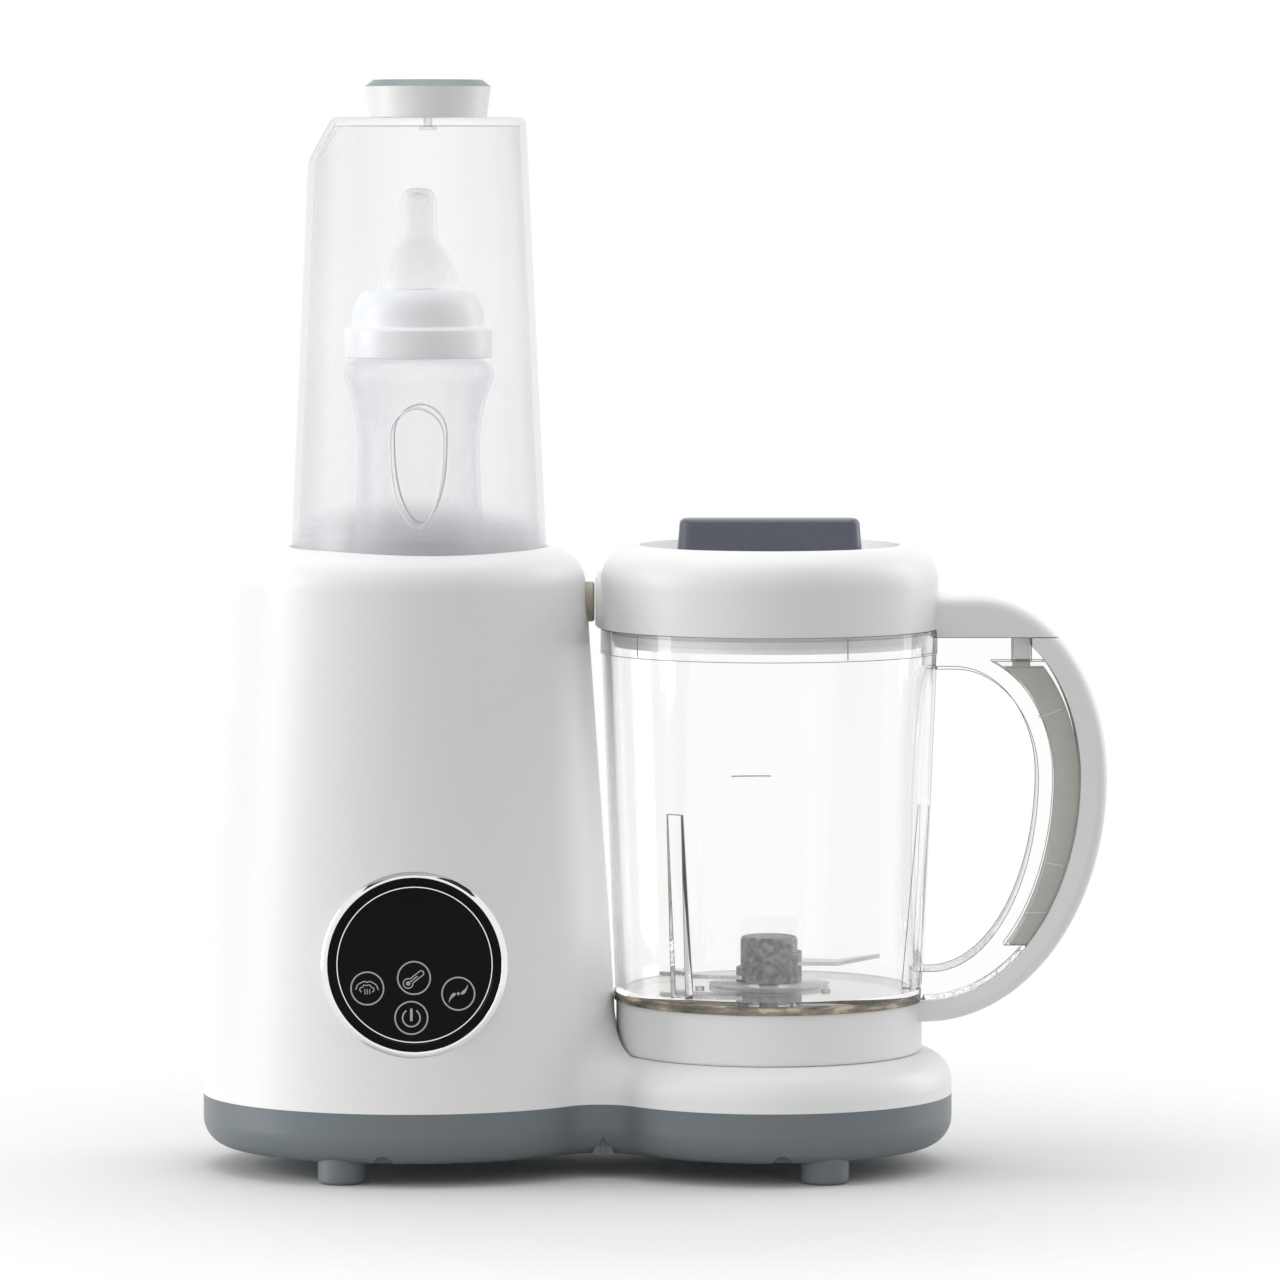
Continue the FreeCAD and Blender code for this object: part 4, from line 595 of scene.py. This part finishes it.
# A flat bar of four corners carried from one end of a joint to the other, on the face at a given depth
def makeRodJoints(look, faces):
    along = np.linspace(0, 1, look["steps"])[:, None]
    for side, depth in faces.items():
        bars = []
        for start, end in np.array(look["joints"]):
            line = start * (1 - along) + end * along
            run = (end - start) / np.linalg.norm(end - start)
            off = np.array([-run[1], run[0]]) * look["half"]
            flat = np.stack([line - off, line + off, line + off, line - off], 1)
            deep = depth / mm + np.array([-1, -1, 1, 1]) * look["proud"] + 0 * flat[..., 0]
            points = np.stack([flat[..., 0], deep, flat[..., 1]], -1).reshape(-1, 3) * mm
            bars.append((points, barFaces(look["steps"])))
        addPiece("rod_joints_" + side, *joined(bars), "push_rod", finishes["joint_pale"])


rodLow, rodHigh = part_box("interlock_rod")
makeRodJoints(rodLook, {"front": rodLow[1], "back": rodHigh[1]})
print("jug marks made")


# Touch panel: the glass's own axes, from the leaning disc that the frame holds
# Glass sizes; the gap and width at the end place the painted highlight ring just inside the bevel
glassLook = {"thick": 3.0 * mm, "landWidth": 1.8 * mm, "landDrop": 0.55 * mm, "bevel": 0.7 * mm,
             "edge": 0.25 * mm, "highlightGap": 0.3 * mm, "highlightWidth": 0.32 * mm}
bezelLook = {"wide": 2.6, "proud": 1.6, "bevel": 1.35, "fall": 0.88, "skirt": 8.9, "skirtWall": 1.2,
             "seat": 3.0, "lipHigh": 0.5, "lipWide": 0.55, "landDrop": 0.1, "rounds": (0.15, 0.2, 0.25, 0.2)}
panelSteps = 192
glassLow, glassHigh = (np.array(c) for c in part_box("touch_glass"))
glassSize = glassHigh - glassLow
glassRadius = glassSize[0] / 2
panelLean = math.asin((glassSize[1] - glassLook["thick"]) / (2 * glassRadius))
panelUp = np.array([0, math.sin(panelLean), math.cos(panelLean)])
panelOut = np.array([0, -math.cos(panelLean), math.sin(panelLean)])
panelRight = np.array([1.0, 0, 0])
panelFace = (glassLow + glassHigh) / 2 + panelOut * glassLook["thick"] / 2


# From panel coordinates (across, up, out of the face) to the object's own
def onPanel(across, up, out):
    return panelFace + across[..., None] * panelRight + up[..., None] * panelUp + out[..., None] * panelOut


# A profile of (radius, out of the face) carried round the panel's axis
def panelTurned(profile):
    angle = np.linspace(0, 2 * np.pi, panelSteps, endpoint=False)
    radius, depth = profile[:, 0, None], profile[:, 1, None]
    return onPanel(radius * np.cos(angle), radius * np.sin(angle), depth + 0 * angle)


# Glass: a flat disc with a bevelled step near its rim, turned about the panel's axis
def makeGlass(look):
    step = glassRadius - look["landWidth"]
    corners = [(0, 0, 0), (step - look["bevel"], 0, look["edge"]), (step, -look["landDrop"], look["edge"]),
               (glassRadius, -look["landDrop"], 0), (glassRadius, -look["thick"], 0), (0, -look["thick"], 0)]
    profile = roundedLine(corners)
    glass = addPiece("panel_glass", panelTurned(profile), gridFaces(len(profile), panelSteps), "base_unit",
                     finishes["panel_black"], "panel_black", sharpAngle=20)
    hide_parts("touch_glass")


# Bright ring round the glass: inner lip, narrow land and a broad outer bevel, turned about the panel's axis
def makeBezel(look):
    inner, outer, top = glassRadius / mm, glassRadius / mm + look["wide"], look["proud"]
    lipRound, landRound, bevelRound, rimRound = look["rounds"]
    back = outer - look["skirtWall"]
    corners = [(inner, -look["seat"], 0), (inner, look["lipHigh"], lipRound),
               (inner + look["lipWide"], top - look["landDrop"], landRound),
               (outer - look["bevel"], top, bevelRound), (outer, top - look["fall"], rimRound),
               (outer, -look["skirt"], 0), (back, -look["skirt"], 0), (back, -look["seat"], 0)]
    profile = roundedLine(corners, closed=True) * mm
    faces = gridFaces(len(profile), panelSteps, closeRows=True)
    ring = addPiece("panel_bright_ring", panelTurned(profile), faces, "base_unit",
                    finishes["bezel_chrome"], "bezel_chrome", sharpAngle=18)
    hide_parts("panel_bezel")


# A stroke on the glass, printed for the symbols and a painted highlight for the ring line: a flat bar of a
# given width carried along a line in the panel's plane
def strokePart(line, width, closed, low=-0.03 * mm, high=0.05 * mm):
    if closed:
        step = np.roll(line, -1, 0) - np.roll(line, 1, 0)
    else:
        step = np.gradient(line, axis=0)
    side = np.stack([-step[:, 1], step[:, 0]], -1)
    side = side / np.linalg.norm(side, axis=1)[:, None] * np.reshape(width, (-1, 1)) / 2
    left, right = line + side, line - side
    flat = np.stack([left, right, right, left], 1)
    out = np.broadcast_to([low, low, high, high], flat.shape[:2])
    points = onPanel(flat[..., 0], flat[..., 1], out)
    return points.reshape(-1, 3), barFaces(len(line), closed)


# Points on part of a circle, angles in degrees
def arc(radius, start, end, count=48, x=0.0):
    angle = np.radians(np.linspace(start, end, count))
    return np.stack([x + radius * np.cos(angle), radius * np.sin(angle)], -1)


# Points on a whole circle, the last not repeating the first
def ringLine(radius, count=96):
    return arc(radius, 0, 360, count + 1)[:-1]


# Touch symbols, in mm: the key's ring and stroke, and the shares of that stroke in finer or bolder lines
symbolLook = {"ring": 5.58, "ringWidth": 0.5, "line": 0.38, "nested": 0.9, "wisp": 0.72, "broken": 1.3,
              "bar": 2.3}
symbolPlaces = {"steam": (-16.2, -8.1), "heat": (-0.2, -4.5), "blade": (15.0, -9.9), "power": (-1.1, -18.2)}


# Steam: a rounded cloud, a smaller one nested under it, and three short wisps
def steamStrokes(look):
    cloud = smoothLine([(-4.0, -0.4), (-3.3, 1.2), (-2.2, 1.9), (-1.0, 2.4), (-0.1, 2.1), (0.9, 2.4),
                        (2.0, 1.85), (3.1, 1.1), (3.8, -0.5)])
    inner = smoothLine([(-2.0, -1.3), (-2.6, -0.5), (-2.3, 0.25), (-1.5, 0.5), (-1.2, 1.15), (-0.3, 1.0),
                        (0.8, 1.2), (1.3, 0.5), (2.1, 0.1), (2.3, -0.7), (1.7, -1.25)], 8)
    strokes = [(cloud, look["line"], False), (inner, look["line"] * look["nested"], False)]
    for x in (-0.85, 0.0, 0.85):
        wisp = smoothLine([(x - 0.1, -2.0), (x + 0.14, -1.4), (x - 0.14, -0.8), (x + 0.1, -0.2)], 6)
        strokes.append((wisp, look["line"] * look["wisp"], False))
    return strokes


# Heat: a thermometer lying at a slant, an outline round a filled bulb and column
def heatStrokes(look):
    bulb, tube, length, lean = 1.65, 0.85, 5.7, math.radians(38)
    filled, dropHalf, dropRadius = 0.72, 0.7, 0.75
    meet = math.degrees(math.asin(tube / bulb))
    outline = np.vstack([arc(bulb, meet, 360 - meet, 40), arc(tube, -90, 90, 18, x=length)])
    column = np.stack([np.linspace(0, length * filled, 10), np.zeros(10)], -1)
    drop = np.stack([np.linspace(-dropHalf, dropHalf, 9), np.zeros(9)], -1)
    dropWidth = 2 * np.sqrt(np.clip(dropRadius**2 - drop[:, 0]**2, 0.01, None))
    turn = np.array([[math.cos(lean), math.sin(lean)], [-math.sin(lean), math.cos(lean)]])
    shift = np.array([-2.0, -1.9])
    return [(outline @ turn + shift, look["line"], True), (column @ turn + shift, look["line"], False),
            (drop @ turn + shift, dropWidth, False)]


# Blade: two swept wings that thin to a point, either side of a small hub
def bladeStrokes(look):
    wing = smoothLine([(0.95, -0.05), (1.6, 0.35), (2.3, 1.05), (2.85, 1.9), (3.25, 3.0)], 8)
    width = np.interp(np.linspace(0, 1, len(wing)), [0, 0.3, 1], [0.75, 1.1, 0.15])
    hub = ringLine(0.32, 20)
    return [(wing, width, False), (-wing, width, False), (hub, look["line"], True)]


# Power: a broken ring with a bar in its gap
def powerStrokes(look):
    bar = np.stack([np.zeros(6), np.linspace(-1.1, 3.2, 6)], -1)
    return [(arc(3.0, 124, 416), look["line"] * look["broken"], False),
            (bar, look["line"] * look["bar"], False)]


# Each key: a ring and its strokes shifted to the key's place, then joined as one piece
def makeSymbols(look):
    drawings = {"steam": steamStrokes, "heat": heatStrokes, "blade": bladeStrokes, "power": powerStrokes}
    for name, draw in drawings.items():
        strokes = [(ringLine(look["ring"]), look["ringWidth"], True)] + draw(look)
        parts = []
        for line, width, closed in strokes:
            place = (line + np.array(symbolPlaces[name])) * mm
            parts.append(strokePart(place, np.broadcast_to(width, len(line)) * mm, closed))
        addPiece("symbol_" + name, *joined(parts), "base_unit", finishes["symbol_painted_shade"])


# Painted highlight: a fine bright line that runs round the glass just inside its bevel, where the bevel
# catches the light
def makePaintedHighlightRing(look):
    radius = glassRadius - look["landWidth"] - look["bevel"] - look["highlightGap"]
    points, faces = strokePart(ringLine(radius, panelSteps), np.full(panelSteps, look["highlightWidth"]), True)
    addPiece("panel_painted_highlight", points, faces, "base_unit", finishes["bezel_chrome"], "bezel_chrome")


makeGlass(glassLook)
makeBezel(bezelLook)
makeSymbols(symbolLook)
makePaintedHighlightRing(glassLook)
print("touch panel made")


# Studio: camera where the photographer stood, a pale floor that fades out, soft lamps and a white backdrop
studio = {"eye": (-0.0049, -2.5, 0.349), "aim": (-0.0049, 0.0, 0.1845), "lens": 201.3, "sensor": 36.0,
          "clip": (0.1, 50.0), "floorRadius": 0.9, "floorRings": 24, "floorSides": 96,
          "floorFade": (0.13, 0.34), "floorTone": (0.72, 0.72, 0.72), "floorRough": 0.7,
          "lampAim": (0, 0, 0.17), "ambient": (0.46, 0.86)}
lamps = {"leftBox": {"place": (-1.5, -0.16, 0.44), "size": (0.8, 1.0), "power": 12.6},
         "rightBox": {"place": (1.42, 0.6, 0.6), "size": (0.7, 1.3), "power": 8.0},
         "topBox": {"place": (0.0, 0.1, 1.9), "size": (1.6, 1.4), "power": 12.0}}
cardLook = {"size": 0.44, "tone": (0.02, 0.02, 0.02), "rough": 0.9,
            "places": {"leftCard": (-0.55, -0.6, 1.17), "rightCard": (0.46, -0.6, 1.13)}}


# Turns a lamp or camera so that it looks from its place at a target
def aimAt(thing, place, target):
    thing.location = place
    away = np.array(place) - np.array(target)
    flat = math.hypot(away[0], away[1])
    thing.rotation_euler = (math.atan2(flat, away[2]), 0, math.atan2(away[0], -away[1]))


# Camera: a long lens with no shift
def makeCamera(look):
    data = bpy.data.cameras.new("photo_camera")
    data.lens = look["lens"]
    data.sensor_width = look["sensor"]
    data.clip_start, data.clip_end = look["clip"]
    camera = addObject("photo_camera", data)
    aimAt(camera, look["eye"], look["aim"])
    bpy.context.scene.camera = camera


# Soft boxes: rectangular lamps that face the object's middle
def makeLamps(look, target):
    for name, lamp in look.items():
        data = bpy.data.lights.new(name, "AREA")
        data.shape = "RECTANGLE"
        data.size, data.size_y = lamp["size"]
        data.energy = lamp["power"]
        box = addObject(name, data)
        aimAt(box, lamp["place"], target)
        box.visible_camera = False


# A plain surface of the studio
def addStage(name, points, faces, material):
    mesh = bpy.data.meshes.new(name)
    mesh.from_pydata(points.tolist(), [], faces)
    mesh.materials.append(material)
    surface = addObject(name, mesh)
    return surface


# Floor: rings of a flat disc; its finish fades to nothing away from the object
def makeFloor(look):
    radius = np.linspace(0, look["floorRadius"], look["floorRings"])
    points = turned(np.stack([radius, 0 * radius], -1), 0.0, look["floorSides"])
    material, tree, bsdf = newFinish("floor_paper")
    bsdf.inputs["Base Color"].default_value = (*look["floorTone"], 1)
    bsdf.inputs["Roughness"].default_value = look["floorRough"]
    place = tree.nodes.new("ShaderNodeTexCoord")
    length = tree.nodes.new("ShaderNodeVectorMath")
    length.operation = "LENGTH"
    tree.links.new(place.outputs["Object"], length.inputs[0])
    fade = mapRange(tree, length.outputs["Value"], look["floorFade"], (1.0, 0.0), "SMOOTHERSTEP")
    tree.links.new(fade, bsdf.inputs["Alpha"])
    faces = gridFaces(look["floorRings"], look["floorSides"]).tolist()
    addStage("floor", points.reshape(-1, 3), faces, material)


# Dark cards that only gloss sees: squares that face the touch panel, so its bright ring gets dark breaks
def makeCards(look, target):
    material, _, bsdf = newFinish("card_dark")
    bsdf.inputs["Base Color"].default_value = (*look["tone"], 1)
    bsdf.inputs["Roughness"].default_value = look["rough"]
    turns = np.array([[-1, -1], [1, -1], [1, 1], [-1, 1]]) * look["size"] / 2
    for name, place in look["places"].items():
        away = (np.array(place) - target) / np.linalg.norm(np.array(place) - target)
        across = np.cross([0, 0, 1], away) / np.linalg.norm(np.cross([0, 0, 1], away))
        points = np.array(place) + turns[:, :1] * across + turns[:, 1:] * np.cross(away, across)
        sheet = addStage(name, points, [[0, 1, 2, 3]], material)
        sheet.visible_camera = sheet.visible_diffuse = False
        sheet.visible_transmission = sheet.visible_shadow = False


# World: soft light for surfaces, dimmer low down than overhead; plain white for what the eye, a gloss or a
# clear wall looks out at
def makeWorld(look):
    world = bpy.data.worlds.new("studio_world")
    bpy.context.scene.world = world
    world.use_nodes = True
    tree = world.node_tree
    tree.nodes.clear()
    place = tree.nodes.new("ShaderNodeTexCoord")
    split = tree.nodes.new("ShaderNodeSeparateXYZ")
    soft = tree.nodes.new("ShaderNodeBackground")
    tree.links.new(place.outputs["Generated"], split.inputs["Vector"])
    climb = mapRange(tree, split.outputs["Z"], (0.0, 1.0), look["ambient"])
    tree.links.new(climb, soft.inputs["Strength"])
    white = tree.nodes.new("ShaderNodeBackground")
    for light in (soft, white):
        light.inputs["Color"].default_value = (1, 1, 1, 1)
    path = tree.nodes.new("ShaderNodeLightPath")
    either = largest(tree, path.outputs["Is Camera Ray"], path.outputs["Is Glossy Ray"])
    seen = largest(tree, either, path.outputs["Is Transmission Ray"])
    mix = tree.nodes.new("ShaderNodeMixShader")
    for socket, source in zip(mix.inputs, (seen, soft.outputs[0], white.outputs[0])):
        tree.links.new(source, socket)
    out = tree.nodes.new("ShaderNodeOutputWorld")
    tree.links.new(mix.outputs[0], out.inputs["Surface"])


makeCamera(studio)
makeLamps(lamps, studio["lampAim"])
makeFloor(studio)
makeCards(cardLook, panelFace)
makeWorld(studio)
bpy.context.scene.view_settings.view_transform = "Standard"
print("studio set")
